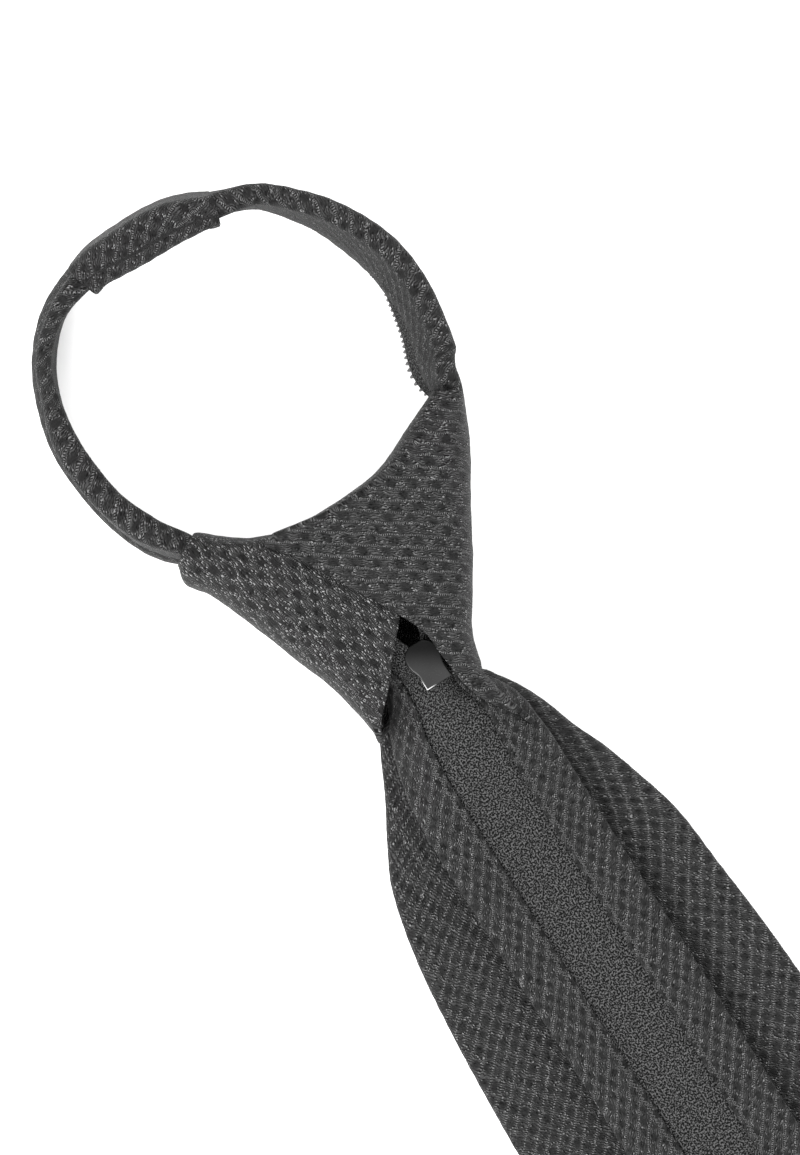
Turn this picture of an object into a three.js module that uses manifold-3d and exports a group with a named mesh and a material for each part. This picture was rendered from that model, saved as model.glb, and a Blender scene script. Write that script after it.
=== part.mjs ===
// A ready-knotted zipper tie, lying face down.
// Millimetres. +Z is up, +Y runs from the blade's tip to the neck loop, +X is to the right
// as the back of the tie is seen. The knot's opening starts at the point (0, 0) before the
// finished group is moved onto its own centre.

import * as THREE from 'three';
import { mergeVertices } from 'three/addons/utils/BufferGeometryUtils.js';
import Module from 'manifold-3d';

// Blade, the wide front part
const BLADE_LENGTH = 452;
const BLADE_WIDTH = 80;
const BLADE_WALL = 1.2;
const BLADE_HEIGHT = 4.2;
const BLADE_SEAM_GAP = 1.0;
const BLADE_HEM = 15;
const TIP_LENGTH = 40;

// Knot
const KNOT_WIDTH = 72;
const KNOT_HEIGHT = 60;
const KNOT_DEPTH = 22.5;
const KNOT_WALL = 1.3;
const FRONT_WALL = 1.4;
const FRONT_CROWN = 2.2;
const WING_RETURN = 7;
const BODY_FRONT = 2.5;

// Bands and zip
const BAND_WIDTH = 17.5;
const BAND_WALL = 1.0;
const TAPE_SHOWING = 7.5;
const TAPE_WIDTH = 15;
const TAPE_WALL = 0.5;
const LAYER_GAP = 0.5;
const TAPE_INNER_EDGE = 0.4;
const COIL_THICKNESS = 1.6;
const COIL_WIDTH = 2.4;
const COIL_OPENING = 1.3;
const COIL_TILT = 0.25;
const TAIL_LENGTH = 330;
const TAIL_LEVEL = 8.9;
const SLIDER_HEM = 2.6;

// Neck loop, measured on the middle line of its bands
const LOOP_WIDTH = 81;
const LOOP_HEIGHT = 64.6;
const LOOP_LEVEL = 2.2;
const LOOP_TOP_EDGE = 0.1;
const PUFF_RISE = 7;

// Nape panel and tail end
const NAPE_LENGTH = 31;
const NAPE_WALL = 1.1;
const NAPE_MARGIN = 0.8;
const NAPE_CHORD = 3.0;
const NUB_HEIGHT = 1.1;
const NUB_LENGTH = 1.6;
const TAIL_END_LENGTH = 26;
const TAIL_END_WALL = 1.1;

// Slider
const SLIDER_LENGTH = 10;
const SLIDER_WIDTH = 7.8;
const SLIDER_UNDER_WIDTH = 5.4;
const SLIDER_PLATE = 1.5;
const SLIDER_POST = 1.3;
const SLIDER_THROAT = 0.8;

const CLEARANCE = 0.4;

// What follows from the sizes above
const HORN_Y = 0.556 * KNOT_HEIGHT;
const BAND_LAYER = TAPE_WALL / 2 + LAYER_GAP + BAND_WALL / 2;
const BAND_FACE = BAND_LAYER + BAND_WALL / 2;
const FOLD_CENTRE = BAND_WIDTH - BAND_FACE;
const BAND_MIDDLE = (TAPE_SHOWING + FOLD_CENTRE) / 2;
const TAIL_FRONT_EDGE = 2.5 * COIL_WIDTH;
const LOOP_FRONT_EDGE = 1.35 * COIL_WIDTH;
const LAP_STEP = KNOT_WALL + CLEARANCE;

// Colours
const cloth = new THREE.MeshStandardMaterial({ color: 0x47484c, roughness: 0.85, metalness: 0 });
const tape = new THREE.MeshStandardMaterial({ color: 0x404144, roughness: 0.9, metalness: 0 });
const nylon = new THREE.MeshStandardMaterial({ color: 0x37383b, roughness: 0.55, metalness: 0 });
const gloss = new THREE.MeshStandardMaterial({ color: 0x18191b, roughness: 0.25, metalness: 0 });

const radians = THREE.MathUtils.degToRad;

// Smooth interpolation of every column of a table against its keys
function smoothTable(keys, rows) {
  const last = keys.length - 1;
  const secant = (i, c) => (rows[i + 1][c] - rows[i][c]) / (keys[i + 1] - keys[i]);
  const slope = (i, c) => {
    if (i === 0) return secant(0, c);
    if (i === last) return secant(last - 1, c);
    const before = keys[i] - keys[i - 1];
    const after = keys[i + 1] - keys[i];
    return (secant(i - 1, c) * after + secant(i, c) * before) / (before + after);
  };
  return (key) => {
    let i = 0;
    while (i < last - 1 && key > keys[i + 1]) i += 1;
    const span = keys[i + 1] - keys[i];
    const t = (key - keys[i]) / span;
    const h1 = t * t * (3 - 2 * t);
    const h2 = t * (1 - t) * (1 - t) * span;
    const h3 = -t * t * (1 - t) * span;
    return rows[i].map((start, c) => {
      return start * (1 - h1) + rows[i + 1][c] * h1 + slope(i, c) * h2 + slope(i + 1, c) * h3;
    });
  };
}

// Keys from the first to the last, with each interval cut into pieces no longer than step
function stations(keys, step, most = 40) {
  const out = [keys[0]];
  for (let i = 1; i < keys.length; i += 1) {
    const pieces = Math.min(most, Math.max(1, Math.ceil((keys[i] - keys[i - 1]) / step)));
    for (let k = 1; k <= pieces; k += 1) {
      out.push(keys[i - 1] + ((keys[i] - keys[i - 1]) * k) / pieces);
    }
  }
  return out;
}

function signedVolume(points, triangles) {
  let sum = 0;
  for (const [a, b, c] of triangles) {
    sum += points[a].dot(new THREE.Vector3().crossVectors(points[b], points[c]));
  }
  return sum;
}

function meshFrom(name, points, triangles, material) {
  const outward = signedVolume(points, triangles) > 0;
  const index = triangles.flatMap(([a, b, c]) => (outward ? [a, b, c] : [a, c, b]));
  const geometry = new THREE.BufferGeometry();
  const flat = points.flatMap((p) => [p.x, p.y, p.z]);
  geometry.setAttribute('position', new THREE.Float32BufferAttribute(flat, 3));
  geometry.setIndex(index);
  geometry.computeVertexNormals();
  const mesh = new THREE.Mesh(geometry, material);
  mesh.name = name;
  return mesh;
}

// A sheet of even thickness whose middle surface is the grid; ring joins its columns in a tube
function thickSheet(name, grid, thickness, material, ring = false) {
  const rowCount = grid.length;
  const columnCount = grid[0].length;
  const points = [];
  const wrap = (j) => (ring ? (j + columnCount) % columnCount : Math.min(columnCount - 1, Math.max(0, j)));
  for (const side of [0.5, -0.5]) {
    for (let i = 0; i < rowCount; i += 1) {
      for (let j = 0; j < columnCount; j += 1) {
        const before = grid[Math.max(0, i - 1)][j];
        const after = grid[Math.min(rowCount - 1, i + 1)][j];
        const along = new THREE.Vector3().subVectors(after, before);
        const across = new THREE.Vector3().subVectors(grid[i][wrap(j + 1)], grid[i][wrap(j - 1)]);
        const normal = along.cross(across).normalize();
        points.push(grid[i][j].clone().addScaledVector(normal, side * thickness));
      }
    }
  }
  const layer = rowCount * columnCount;
  const at = (side, i, j) => side * layer + i * columnCount + wrap(j);
  const triangles = [];
  const quad = (a, b, c, d) => triangles.push([a, b, c], [a, c, d]);
  const spans = ring ? columnCount : columnCount - 1;
  for (let i = 0; i < rowCount - 1; i += 1) {
    for (let j = 0; j < spans; j += 1) {
      quad(at(0, i, j), at(0, i, j + 1), at(0, i + 1, j + 1), at(0, i + 1, j));
      quad(at(1, i, j), at(1, i + 1, j), at(1, i + 1, j + 1), at(1, i, j + 1));
    }
    if (!ring) {
      quad(at(0, i, 0), at(0, i + 1, 0), at(1, i + 1, 0), at(1, i, 0));
      quad(at(0, i + 1, spans), at(0, i, spans), at(1, i, spans), at(1, i + 1, spans));
    }
  }
  for (let j = 0; j < spans; j += 1) {
    const end = rowCount - 1;
    quad(at(0, 0, j), at(1, 0, j), at(1, 0, j + 1), at(0, 0, j + 1));
    quad(at(0, end, j), at(0, end, j + 1), at(1, end, j + 1), at(1, end, j));
  }
  return meshFrom(name, points, triangles, material);
}

// A solid bar whose sections are rings of points, each ring convex
function loftedBar(name, sections, material) {
  const count = sections[0].length;
  const points = sections.flat();
  const triangles = [];
  for (let i = 0; i < sections.length - 1; i += 1) {
    for (let j = 0; j < count; j += 1) {
      const next = (j + 1) % count;
      const a = i * count + j;
      const b = i * count + next;
      triangles.push([a, b, b + count], [a, b + count, a + count]);
    }
  }
  const end = (sections.length - 1) * count;
  for (let j = 1; j < count - 1; j += 1) {
    triangles.push([0, j + 1, j], [end, end + j, end + j + 1]);
  }
  return meshFrom(name, points, triangles, material);
}

// Blade. down is a share of the length above the tip, half of BLADE_WIDTH, lift and arch of
// KNOT_DEPTH, middle of BLADE_WIDTH.
const BLADE_ROWS = [
  // down, half, lift, arch, middle
  [0.036, 0.085, 0.12, 0.03, 0.000],
  [0.044, 0.090, 0.11, 0.03, 0.000],
  [0.050, 0.165, 0.06, 0.06, 0.000],
  [0.058, 0.190, 0.04, 0.12, 0.002],
  [0.080, 0.252, 0.01, 0.15, -0.002],
  [0.100, 0.299, 0.00, 0.11, -0.008],
  [0.121, 0.347, 0.00, 0.06, -0.010],
  [0.143, 0.381, 0.00, 0.03, -0.009],
  [0.163, 0.406, 0.00, 0.01, -0.008],
  [0.206, 0.435, 0.00, 0.00, -0.006],
  [0.248, 0.452, 0.00, 0.00, -0.003],
  [0.279, 0.460, 0.00, 0.00, -0.002],
  [0.440, 0.472, 0.00, 0.00, 0.000],
  [0.680, 0.490, 0.00, 0.00, 0.000],
  [1.000, 0.500, 0.00, 0.00, 0.000],
];
const BLADE_POINT_HALF = 2.4;

function bladeSection(y, half, lift, arch, hem, middle) {
  const flat = BLADE_HEIGHT - BLADE_WALL;
  const radius = Math.min(flat / 2, half / 2);
  const reach = half - BLADE_WALL / 2 - radius;
  const inner = Math.max(BLADE_SEAM_GAP / 2, half - hem);
  const base = lift + BLADE_WALL / 2;
  const raised = (x) => arch * (1 - (x / half) ** 2);
  const points = [];
  const add = (x, z) => points.push(new THREE.Vector3(middle + x, y, base + z + raised(x)));
  const flap = [inner, inner + (reach - inner) / 2, reach];
  const fold = [60, 0, -60].map(radians);
  for (const x of flap) add(-x, 2 * radius);
  for (const angle of fold) add(-reach - radius * Math.cos(angle), radius + radius * Math.sin(angle));
  for (const share of [-1, -0.5, 0, 0.5, 1]) add(share * reach, 0);
  for (const angle of fold.slice().reverse()) {
    add(reach + radius * Math.cos(angle), radius + radius * Math.sin(angle));
  }
  for (const x of flap.slice().reverse()) add(x, 2 * radius);
  return points;
}

function makeBlade() {
  const tipStart = BLADE_LENGTH - TIP_LENGTH;
  const keys = BLADE_ROWS.map((row) => row[0] * tipStart);
  const track = smoothTable(keys, BLADE_ROWS);
  const rows = stations(keys, 40).map((down) => {
    const [, half, lift, arch, middle] = track(down);
    const width = half * BLADE_WIDTH;
    const heights = [lift, arch].map((share) => share * KNOT_DEPTH);
    return bladeSection(-down, width, ...heights, width, middle * BLADE_WIDTH);
  });
  const halfEnd = BLADE_WIDTH / 2;
  const tipShares = [0.12, 0.3, 0.5, 0.75, 1];
  for (const share of tipShares) {
    const half = halfEnd + (BLADE_POINT_HALF - halfEnd) * share;
    const hem = halfEnd + (BLADE_HEM - halfEnd) * Math.min(1, share * 4);
    const length = TIP_LENGTH - BLADE_POINT_HALF;
    rows.push(bladeSection(-tipStart - length * share, half, 0, 0, hem, 0));
  }
  return thickSheet('blade', rows, BLADE_WALL, cloth);
}

// Height of the knot's back, as a share of KNOT_DEPTH, against shares of KNOT_HEIGHT
const BACK_ROWS = [
  // up, back
  [-0.60, 0.660],
  [-0.46, 0.745],
  [-0.34, 0.880],
  [-0.23, 0.945],
  [-0.13, 0.965],
  [0.00, 0.985],
  [0.20, 1.000],
  [0.47, 0.980],
  [0.60, 0.960],
];
const backTrack = smoothTable(BACK_ROWS.map((row) => row[0] * KNOT_HEIGHT), BACK_ROWS);
const backHeight = (y) => backTrack(y)[1] * KNOT_DEPTH;

// Wings, one row for each line across the cloth from the side of the knot to the wing's edge.
// Places are shares of KNOT_WIDTH (x) and KNOT_HEIGHT (y), front of KNOT_DEPTH; side and roll
// are the widths of the two rounded edges as shares of the row's length; turn is how far round
// the edge goes, wrap how far round the side goes, from 0 to 1; lap lowers the cloth that lies
// under the other wing.
const RIGHT_WING = [
  // sideX, sideY, edgeX, edgeY, front, side, roll, turn, wrap, lap
  [0.576, 0.530, 0.467, 0.582, 0.020, 0.50, 0.50, 1.0, 1.0, 0],
  [0.540, 0.453, 0.361, 0.527, 0.060, 0.48, 0.38, 1.0, 1.0, 0],
  [0.510, 0.382, 0.208, 0.462, 0.110, 0.36, 0.22, 1.0, 1.0, 0],
  [0.476, 0.310, 0.000, 0.447, 0.110, 0.26, 0.13, 1.0, 1.0, 0],
  [0.439, 0.240, -0.171, 0.472, 0.110, 0.22, 0.05, 0.05, 1.0, 0],
  [0.403, 0.168, -0.117, 0.353, 0.110, 0.26, 0.04, 0.05, 1.0, 0],
  [0.369, 0.097, -0.063, 0.235, 0.110, 0.30, 0.04, 0.05, 1.0, 0],
  [0.336, 0.027, -0.008, 0.118, 0.110, 0.36, 0.05, 0.05, 1.0, 0],
  [0.297, -0.045, 0.046, 0.000, 0.110, 0.45, 0.07, 0.05, 1.0, 0],
  [0.258, -0.117, 0.088, -0.113, 0.110, 0.60, 0.10, 0.05, 1.0, 0],
  [0.219, -0.187, 0.094, -0.200, 0.110, 0.70, 0.14, 0.05, 1.0, 0],
  [0.197, -0.258, 0.100, -0.267, 0.110, 0.75, 0.16, 0.05, 0.9, 0],
  [0.186, -0.320, 0.108, -0.348, 0.110, 0.80, 0.18, 0.05, 0.35, 0],
  [0.192, -0.380, 0.124, -0.410, 0.110, 0.80, 0.18, 0.05, 0.25, 0],
  [0.203, -0.450, 0.152, -0.475, 0.110, 0.80, 0.18, 0.05, 0.2, 0],
  [0.216, -0.525, 0.188, -0.535, 0.110, 0.80, 0.18, 0.05, 0.2, 0.2],
  [0.226, -0.590, 0.214, -0.590, 0.110, 0.80, 0.18, 0.05, 0.2, 0.4],
];
const LEFT_WING = [
  // sideX, sideY, edgeX, edgeY, front, side, roll, turn, wrap, lap
  [-0.429, 0.543, -0.325, 0.618, 0.020, 0.50, 0.50, 1.0, 1.0, 0],
  [-0.443, 0.488, -0.271, 0.560, 0.060, 0.48, 0.38, 1.0, 1.0, 0.2],
  [-0.425, 0.452, -0.201, 0.498, 0.110, 0.36, 0.26, 1.0, 1.0, 0.8],
  [-0.407, 0.415, -0.111, 0.450, 0.110, 0.30, 0.20, 0.8, 1.0, 1],
  [-0.378, 0.342, -0.035, 0.367, 0.110, 0.28, 0.08, 0.05, 1.0, 1],
  [-0.354, 0.268, 0.007, 0.267, 0.110, 0.28, 0.06, 0.05, 1.0, 1],
  [-0.331, 0.195, 0.042, 0.167, 0.110, 0.28, 0.06, 0.05, 1.0, 1],
  [-0.308, 0.122, 0.063, 0.075, 0.110, 0.30, 0.06, 0.05, 1.0, 1],
  [-0.288, 0.048, 0.058, -0.008, 0.110, 0.32, 0.06, 0.05, 1.0, 1],
  [-0.264, -0.025, 0.004, -0.088, 0.110, 0.38, 0.08, 0.05, 1.0, 0.8],
  [-0.242, -0.098, -0.036, -0.143, 0.110, 0.48, 0.08, 0.05, 1.0, 0.5],
  [-0.226, -0.172, -0.097, -0.227, 0.110, 0.60, 0.12, 0.05, 1.0, 0.2],
  [-0.213, -0.245, -0.144, -0.283, 0.110, 0.70, 0.20, 0.05, 1.0, 0],
  [-0.204, -0.317, -0.172, -0.327, 0.110, 0.75, 0.20, 0.05, 0.9, 0],
  [-0.203, -0.363, -0.183, -0.357, 0.110, 0.75, 0.20, 0.05, 0.5, 0],
];
const WING_POINTS = { turn: 3, layer: 4, side: 6, tuck: 2 };
// Shares of a row's length: the cloth tucked under, and where the cloth starts to sink and how
// fast under the other wing; cuff makes a cuff round a band boxier than the body of the knot
const WING_SHAPE = { tuck: 0.3, leastTuck: 0.08, lapStart: 0.36, lapRise: 2.5, cuff: 0.55 };

function wingSection(row, detail) {
  const [sideX, sideY, edgeX, edgeY, front, side, roll, turn, wrap, lap] = row;
  const start = new THREE.Vector2(sideX * KNOT_WIDTH, sideY * KNOT_HEIGHT);
  const edge = new THREE.Vector2(edgeX * KNOT_WIDTH, edgeY * KNOT_HEIGHT);
  const length = start.distanceTo(edge) - KNOT_WALL;
  const along = new THREE.Vector2().subVectors(edge, start).normalize();
  const sideRadius = side * length;
  const rollRadius = roll * length;
  const low = front * KNOT_DEPTH + KNOT_WALL / 2;
  const { lapStart, lapRise } = WING_SHAPE;
  const points = [];
  const add = (a, share) => {
    const place = start.clone().addScaledVector(along, a + KNOT_WALL / 2);
    const reach = THREE.MathUtils.clamp((a / length - lapStart) * lapRise, 0, 1);
    const high = backHeight(place.y) - KNOT_WALL / 2 - lap * LAP_STEP * reach;
    points.push(new THREE.Vector3(place.x, place.y, low + (high - low) * (0.5 + 0.5 * share)));
  };
  const cuff = THREE.MathUtils.smoothstep(BODY_FRONT - front * KNOT_DEPTH, 0, BODY_FRONT);
  const power = 1 - WING_SHAPE.cuff * cuff;
  const bulge = (value) => Math.sign(value) * Math.abs(value) ** power;
  for (let k = detail.turn; k > 0; k -= 1) {
    const angle = (Math.PI * turn * k) / detail.turn;
    const out = turn * bulge(Math.sin(angle)) + ((1 - turn) * k) / detail.turn;
    add(length - rollRadius + rollRadius * out, 1 - turn * (1 - bulge(Math.cos(angle))));
  }
  for (let k = 0; k <= detail.layer; k += 1) {
    add(length - rollRadius + ((sideRadius + rollRadius - length) * k) / detail.layer, 1);
  }
  for (let k = 1; k <= detail.side; k += 1) {
    const angle = (Math.PI * wrap * k) / detail.side;
    add(sideRadius - sideRadius * bulge(Math.sin(angle)), bulge(Math.cos(angle)));
  }
  const most = Math.min(WING_RETURN, length * WING_SHAPE.tuck);
  const tuck = most * Math.max(WING_SHAPE.leastTuck, wrap * 2 - 1);
  const last = sideRadius - sideRadius * Math.sin(Math.PI * wrap);
  for (let k = 1; k <= detail.tuck; k += 1) {
    add(last + (tuck * k) / detail.tuck, Math.cos(Math.PI * wrap));
  }
  return points;
}

function makeWing(name, table) {
  const track = smoothTable(table.map((_, i) => i), table);
  const rows = stations(table.map((_, i) => i), 1).map((key) => wingSection(track(key), WING_POINTS));
  return thickSheet(name, rows, KNOT_WALL, cloth);
}

// Front panel of the knot, widest at the top; places are shares as in the wings
const FRONT_ROWS = [
  // up, left, right
  [0.430, -0.370, 0.480],
  [0.300, -0.345, 0.445],
  [0.150, -0.300, 0.380],
  [0.000, -0.255, 0.305],
  [-0.150, -0.215, 0.225],
  [-0.250, -0.195, 0.180],
  [-0.335, -0.180, 0.160],
];
const FRONT_COLUMNS = 9;
// Shares of FRONT_CROWN: the rise at the sides, how much of it moves to the two ends, and the
// part of the crown that the cloth shows
const FRONT_SHAPE = { sides: 0.45, ends: 0.12, shown: 0.45 };

function makeFront() {
  const middleRow = (FRONT_ROWS.length - 1) / 2;
  const rows = FRONT_ROWS.map(([up, left, right], i) => {
    const points = [];
    const ends = FRONT_SHAPE.ends * ((i - middleRow) / middleRow) ** 2;
    for (let j = 0; j < FRONT_COLUMNS; j += 1) {
      const share = (2 * j) / (FRONT_COLUMNS - 1) - 1;
      const x = KNOT_WIDTH * (left + ((right - left) * (share + 1)) / 2);
      const bend = FRONT_CROWN * (share ** 2 * (FRONT_SHAPE.sides - ends) + ends);
      const z = FRONT_WALL / 2 + bend * FRONT_SHAPE.shown;
      points.push(new THREE.Vector3(x, up * KNOT_HEIGHT, z));
    }
    return points;
  });
  return thickSheet('knot_front', rows, FRONT_WALL, cloth);
}

// Path of one band, from the end of the tail, through the knot, to the nape.
// lean is the angle of the band's face to the floor at the coil, curl how much it bends over
// its width, both in degrees; gather is its width as a share of BAND_WIDTH; middle is 0 where
// the path is the coil's own line and 1 where it is the middle of the band seen from above.
const TAIL_ROWS = [
  // across, down, level, lean, curl, gather, middle
  [0.0139, 1.000, 0.00, 0, 0, 1.00, 0],
  [0.0139, 0.750, 0.00, 0, 0, 1.00, 0],
  [0.0139, 0.500, 0.00, 0, 0, 1.00, 0],
  [0.0139, 0.300, 0.00, 0, 0, 1.00, 0],
  [0.0090, 0.200, 0.00, 0, 0, 1.00, 0],
  [0.0090, 0.145, 0.05, 0, -6, 1.00, 0],
  [0.0139, 0.112, 0.22, 0, -34, 1.00, 0],
];
const RIGHT_KNOT_ROWS = [
  // across, up, level, lean, curl, gather, middle
  [0.024, -0.440, 0.715, 0, -74, 0.96, 0],
  [0.030, -0.317, 0.760, 0, -106, 0.65, 0],
  [0.047, -0.200, 0.770, 0, -110, 0.74, 0],
  [0.080, -0.108, 0.745, 0, -100, 0.70, 0],
  [0.095, 0.025, 0.620, 6, -60, 0.70, 0],
  [0.125, 0.175, 0.460, 18, -10, 0.72, 0],
  [0.225, 0.325, 0.330, 44, 0, 0.80, 0.3],
  [0.360, 0.420, 0.290, 70, 0, 0.80, 0.7],
  [0.522, 0.552, 0.172, 87, 0, 0.86, 1],
];
const LEFT_KNOT_ROWS = [
  // across, up, level, lean, curl, gather, middle
  [0.024, -0.440, 0.715, 0, -64, 0.96, 0],
  [0.036, -0.317, 0.760, 0, -80, 0.85, 0],
  [0.047, -0.200, 0.770, 0, -88, 0.80, 0],
  [0.012, -0.108, 0.745, 0, -80, 0.76, 0],
  [-0.005, 0.025, 0.620, 6, -50, 0.76, 0],
  [-0.040, 0.175, 0.460, 18, -10, 0.76, 0],
  [-0.120, 0.325, 0.330, 44, 0, 0.82, 0.3],
  [-0.262, 0.430, 0.310, 74, 0, 0.78, 0.7],
  [-0.366, 0.577, 0.182, 93, 0, 0.82, 1],
];
const RIGHT_LOOP_ROWS = [
  // across, up, level, lean, curl, gather, middle
  [0.479, 0.108, 0.02, 59, 0, 1, 1],
  [0.508, 0.242, 0, 60, 0, 1, 1],
  [0.528, 0.375, 0, 65.5, 0, 1, 1],
  [0.523, 0.511, 0, 72, 0, 1, 1],
  [0.487, 0.644, 0, 76, 0, 1, 1],
  [0.426, 0.778, 0.02, 82, 0, 1, 1],
  [0.311, 0.908, 0.05, 91, 0, 1, 1],
  [0.184, 0.975, 0.085, 99, 0, 1, 1],
  [0.075, 1.008, 0.10, 101, 0, 1, 1],
  [0.012, 1.012, 0.10, 101, 0, 1, 1],
];
const LEFT_LOOP_ROWS = [
  // across, up, level, lean, curl, gather, middle
  [-0.396, 0.142, 0.02, 99, 0, 0.98, 1],
  [-0.444, 0.278, 0, 96, 0, 1, 1],
  [-0.461, 0.414, 0, 95, 0, 1, 1],
  [-0.462, 0.544, 0, 95, 0, 1, 1],
  [-0.442, 0.676, 0, 94, 0, 1, 1],
  [-0.398, 0.810, 0.02, 93, 0, 1, 1],
  [-0.303, 0.932, 0.05, 95, 0, 1, 1],
  [-0.181, 0.987, 0.085, 99, 0, 1, 1],
  [-0.070, 1.008, 0.10, 101, 0, 1, 1],
  [0.004, 1.012, 0.10, 101, 0, 1, 1],
];

// How much rounder than flat each band is past its horn, as a share of BAND_WIDTH
const PUFF_ROWS = [
  // rows past the horn, right, left
  [-1, 0, 0],
  [0, 0.008, 0.008],
  [1, 0.050, 0.095],
  [2, 0.050, 0.080],
  [3, 0.050, 0.070],
  [4, 0.050, 0.062],
  [5, 0.050, 0.045],
  [6, 0.043, 0.023],
  [7, 0.029, 0.030],
  [8, 0, 0],
];

const SLIDER_ROW = TAIL_ROWS.length + 2;
const OPEN_ROW = TAIL_ROWS.length + 5;
const HORN_ROW = TAIL_ROWS.length + RIGHT_KNOT_ROWS.length - 1;

function bandPath(side, knotRows, loopRows) {
  const rows = [];
  for (const [across, down, level, ...rest] of TAIL_ROWS) {
    const z = TAIL_LEVEL + level * KNOT_DEPTH;
    rows.push([across * KNOT_WIDTH, -down * TAIL_LENGTH, z, ...rest]);
  }
  for (const [across, up, level, ...rest] of knotRows) {
    rows.push([across * KNOT_WIDTH, up * KNOT_HEIGHT, level * KNOT_DEPTH, ...rest]);
  }
  for (const [across, up, level, ...rest] of loopRows) {
    const z = LOOP_LEVEL + level * KNOT_DEPTH;
    rows.push([across * LOOP_WIDTH, HORN_Y + up * LOOP_HEIGHT, z, ...rest]);
  }
  const keys = [0];
  for (let i = 1; i < rows.length; i += 1) {
    const [x, y, z] = [0, 1, 2].map((c) => rows[i][c] - rows[i - 1][c]);
    keys.push(keys[i - 1] + Math.hypot(x, y, z));
  }
  return { side, keys, track: smoothTable(keys, rows) };
}

// Middle of a leaning band seen from above, measured outward from its coil line
function middleOffset(lean) {
  const fold = BAND_WIDTH * Math.cos(lean);
  const face = BAND_FACE * Math.sin(lean);
  return (Math.min(0, fold - face) + Math.max(face, fold + face)) / 2;
}

// Frame of a band at one key, and the point at w across its width and n off its middle
function bandFrame(path, key) {
  const [x, y, z, lean, curl, gather, middle] = path.track(key);
  const step = 0.5;
  const last = path.keys[path.keys.length - 1];
  const before = path.track(Math.max(0, key - step));
  const after = path.track(Math.min(last, key + step));
  const travel = new THREE.Vector3(...[0, 1, 2].map((c) => after[c] - before[c])).normalize();
  const flat = new THREE.Vector2(travel.x, travel.y).normalize();
  const outward = new THREE.Vector3(path.side * flat.y, -path.side * flat.x, 0);
  const upward = new THREE.Vector3().crossVectors(outward, travel).multiplyScalar(path.side);
  const origin = new THREE.Vector3(x, y, z);
  origin.addScaledVector(outward, -middle * middleOffset(radians(lean)));
  return { origin, outward, upward, lean: radians(lean), curl: radians(curl), gather };
}

function bandPoint(frame, w, n) {
  const width = w * frame.gather;
  const angle = frame.lean + (frame.curl * w) / BAND_WIDTH;
  const halfTurn = (angle - frame.lean) / 2;
  const chord = Math.abs(halfTurn) < 1e-6 ? width : (width * Math.sin(halfTurn)) / halfTurn;
  const h = chord * Math.cos(frame.lean + halfTurn) - n * Math.sin(angle);
  const v = chord * Math.sin(frame.lean + halfTurn) + n * Math.cos(angle);
  return frame.origin.clone().addScaledVector(frame.outward, h).addScaledVector(frame.upward, v);
}

const CURL_COLUMN = 4;
const BAND_STEP = 14;
const BAND_MOST = 3;
const CURL_STEP = 12;
function bandStations(path) {
  const out = [0];
  for (let i = 1; i < path.keys.length; i += 1) {
    const start = path.keys[i - 1];
    const length = path.keys[i] - start;
    const bend = Math.abs(path.track(path.keys[i])[CURL_COLUMN] - path.track(start)[CURL_COLUMN]);
    const even = Math.min(BAND_MOST, Math.ceil(length / BAND_STEP));
    const pieces = Math.max(1, even, Math.ceil(bend / CURL_STEP));
    for (let k = 1; k <= pieces; k += 1) out.push(start + (length * k) / pieces);
  }
  return out;
}

// Where the front layer of the cloth ends: clear of the slider in the tail and the knot
function frontEdge(path, key) {
  const { keys } = path;
  const share = THREE.MathUtils.smoothstep(key, keys[HORN_ROW], keys[HORN_ROW + 2]);
  return TAIL_FRONT_EDGE + (LOOP_FRONT_EDGE - TAIL_FRONT_EDGE) * share;
}

// Where the back layer ends: it leaves the tape bare in the tail and covers it in the loop
function topEdge(path, key) {
  const { side, keys } = path;
  const [from, to] = side > 0 ? [HORN_ROW + 1, HORN_ROW + 4] : [HORN_ROW, HORN_ROW + 1];
  const share = THREE.MathUtils.smoothstep(key, keys[from], keys[to]);
  const fromSlider = ((key - keys[SLIDER_ROW]) / SLIDER_LENGTH) * 2;
  const besideSlider = side > 0 ? 0 : SLIDER_HEM * Math.exp(-(fromSlider ** 2));
  return TAPE_SHOWING + besideSlider + (LOOP_TOP_EDGE - TAPE_SHOWING) * share;
}

function puffTrack(path) {
  const column = path.side > 0 ? 1 : 2;
  const keys = PUFF_ROWS.map((row) => path.keys[HORN_ROW + row[0]]);
  const track = smoothTable(keys, PUFF_ROWS);
  return (key) => {
    const inside = key > keys[0] && key < keys[keys.length - 1];
    return inside ? track(key)[column] * BAND_WIDTH : 0;
  };
}

function makeBand(name, path) {
  const puffAt = puffTrack(path);
  const rows = bandStations(path).map((key) => {
    const puff = puffAt(key);
    const layer = (w) => BAND_LAYER + puff * THREE.MathUtils.smoothstep(w, 0, PUFF_RISE);
    const top = topEdge(path, key);
    const section = [top, (top + FOLD_CENTRE) / 2, FOLD_CENTRE].map((w) => [w, layer(w)]);
    for (const angle of [45, 0, -45].map(radians)) {
      const n = layer(FOLD_CENTRE) * Math.sin(angle);
      section.push([FOLD_CENTRE + BAND_LAYER * Math.cos(angle), n]);
    }
    const under = [FOLD_CENTRE, BAND_MIDDLE, TAPE_SHOWING, frontEdge(path, key)];
    section.push(...under.map((w) => [w, -layer(w)]));
    const frame = bandFrame(path, key);
    return section.map(([w, n]) => bandPoint(frame, w, n));
  });
  return thickSheet(name, rows, BAND_WALL, cloth);
}

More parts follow.
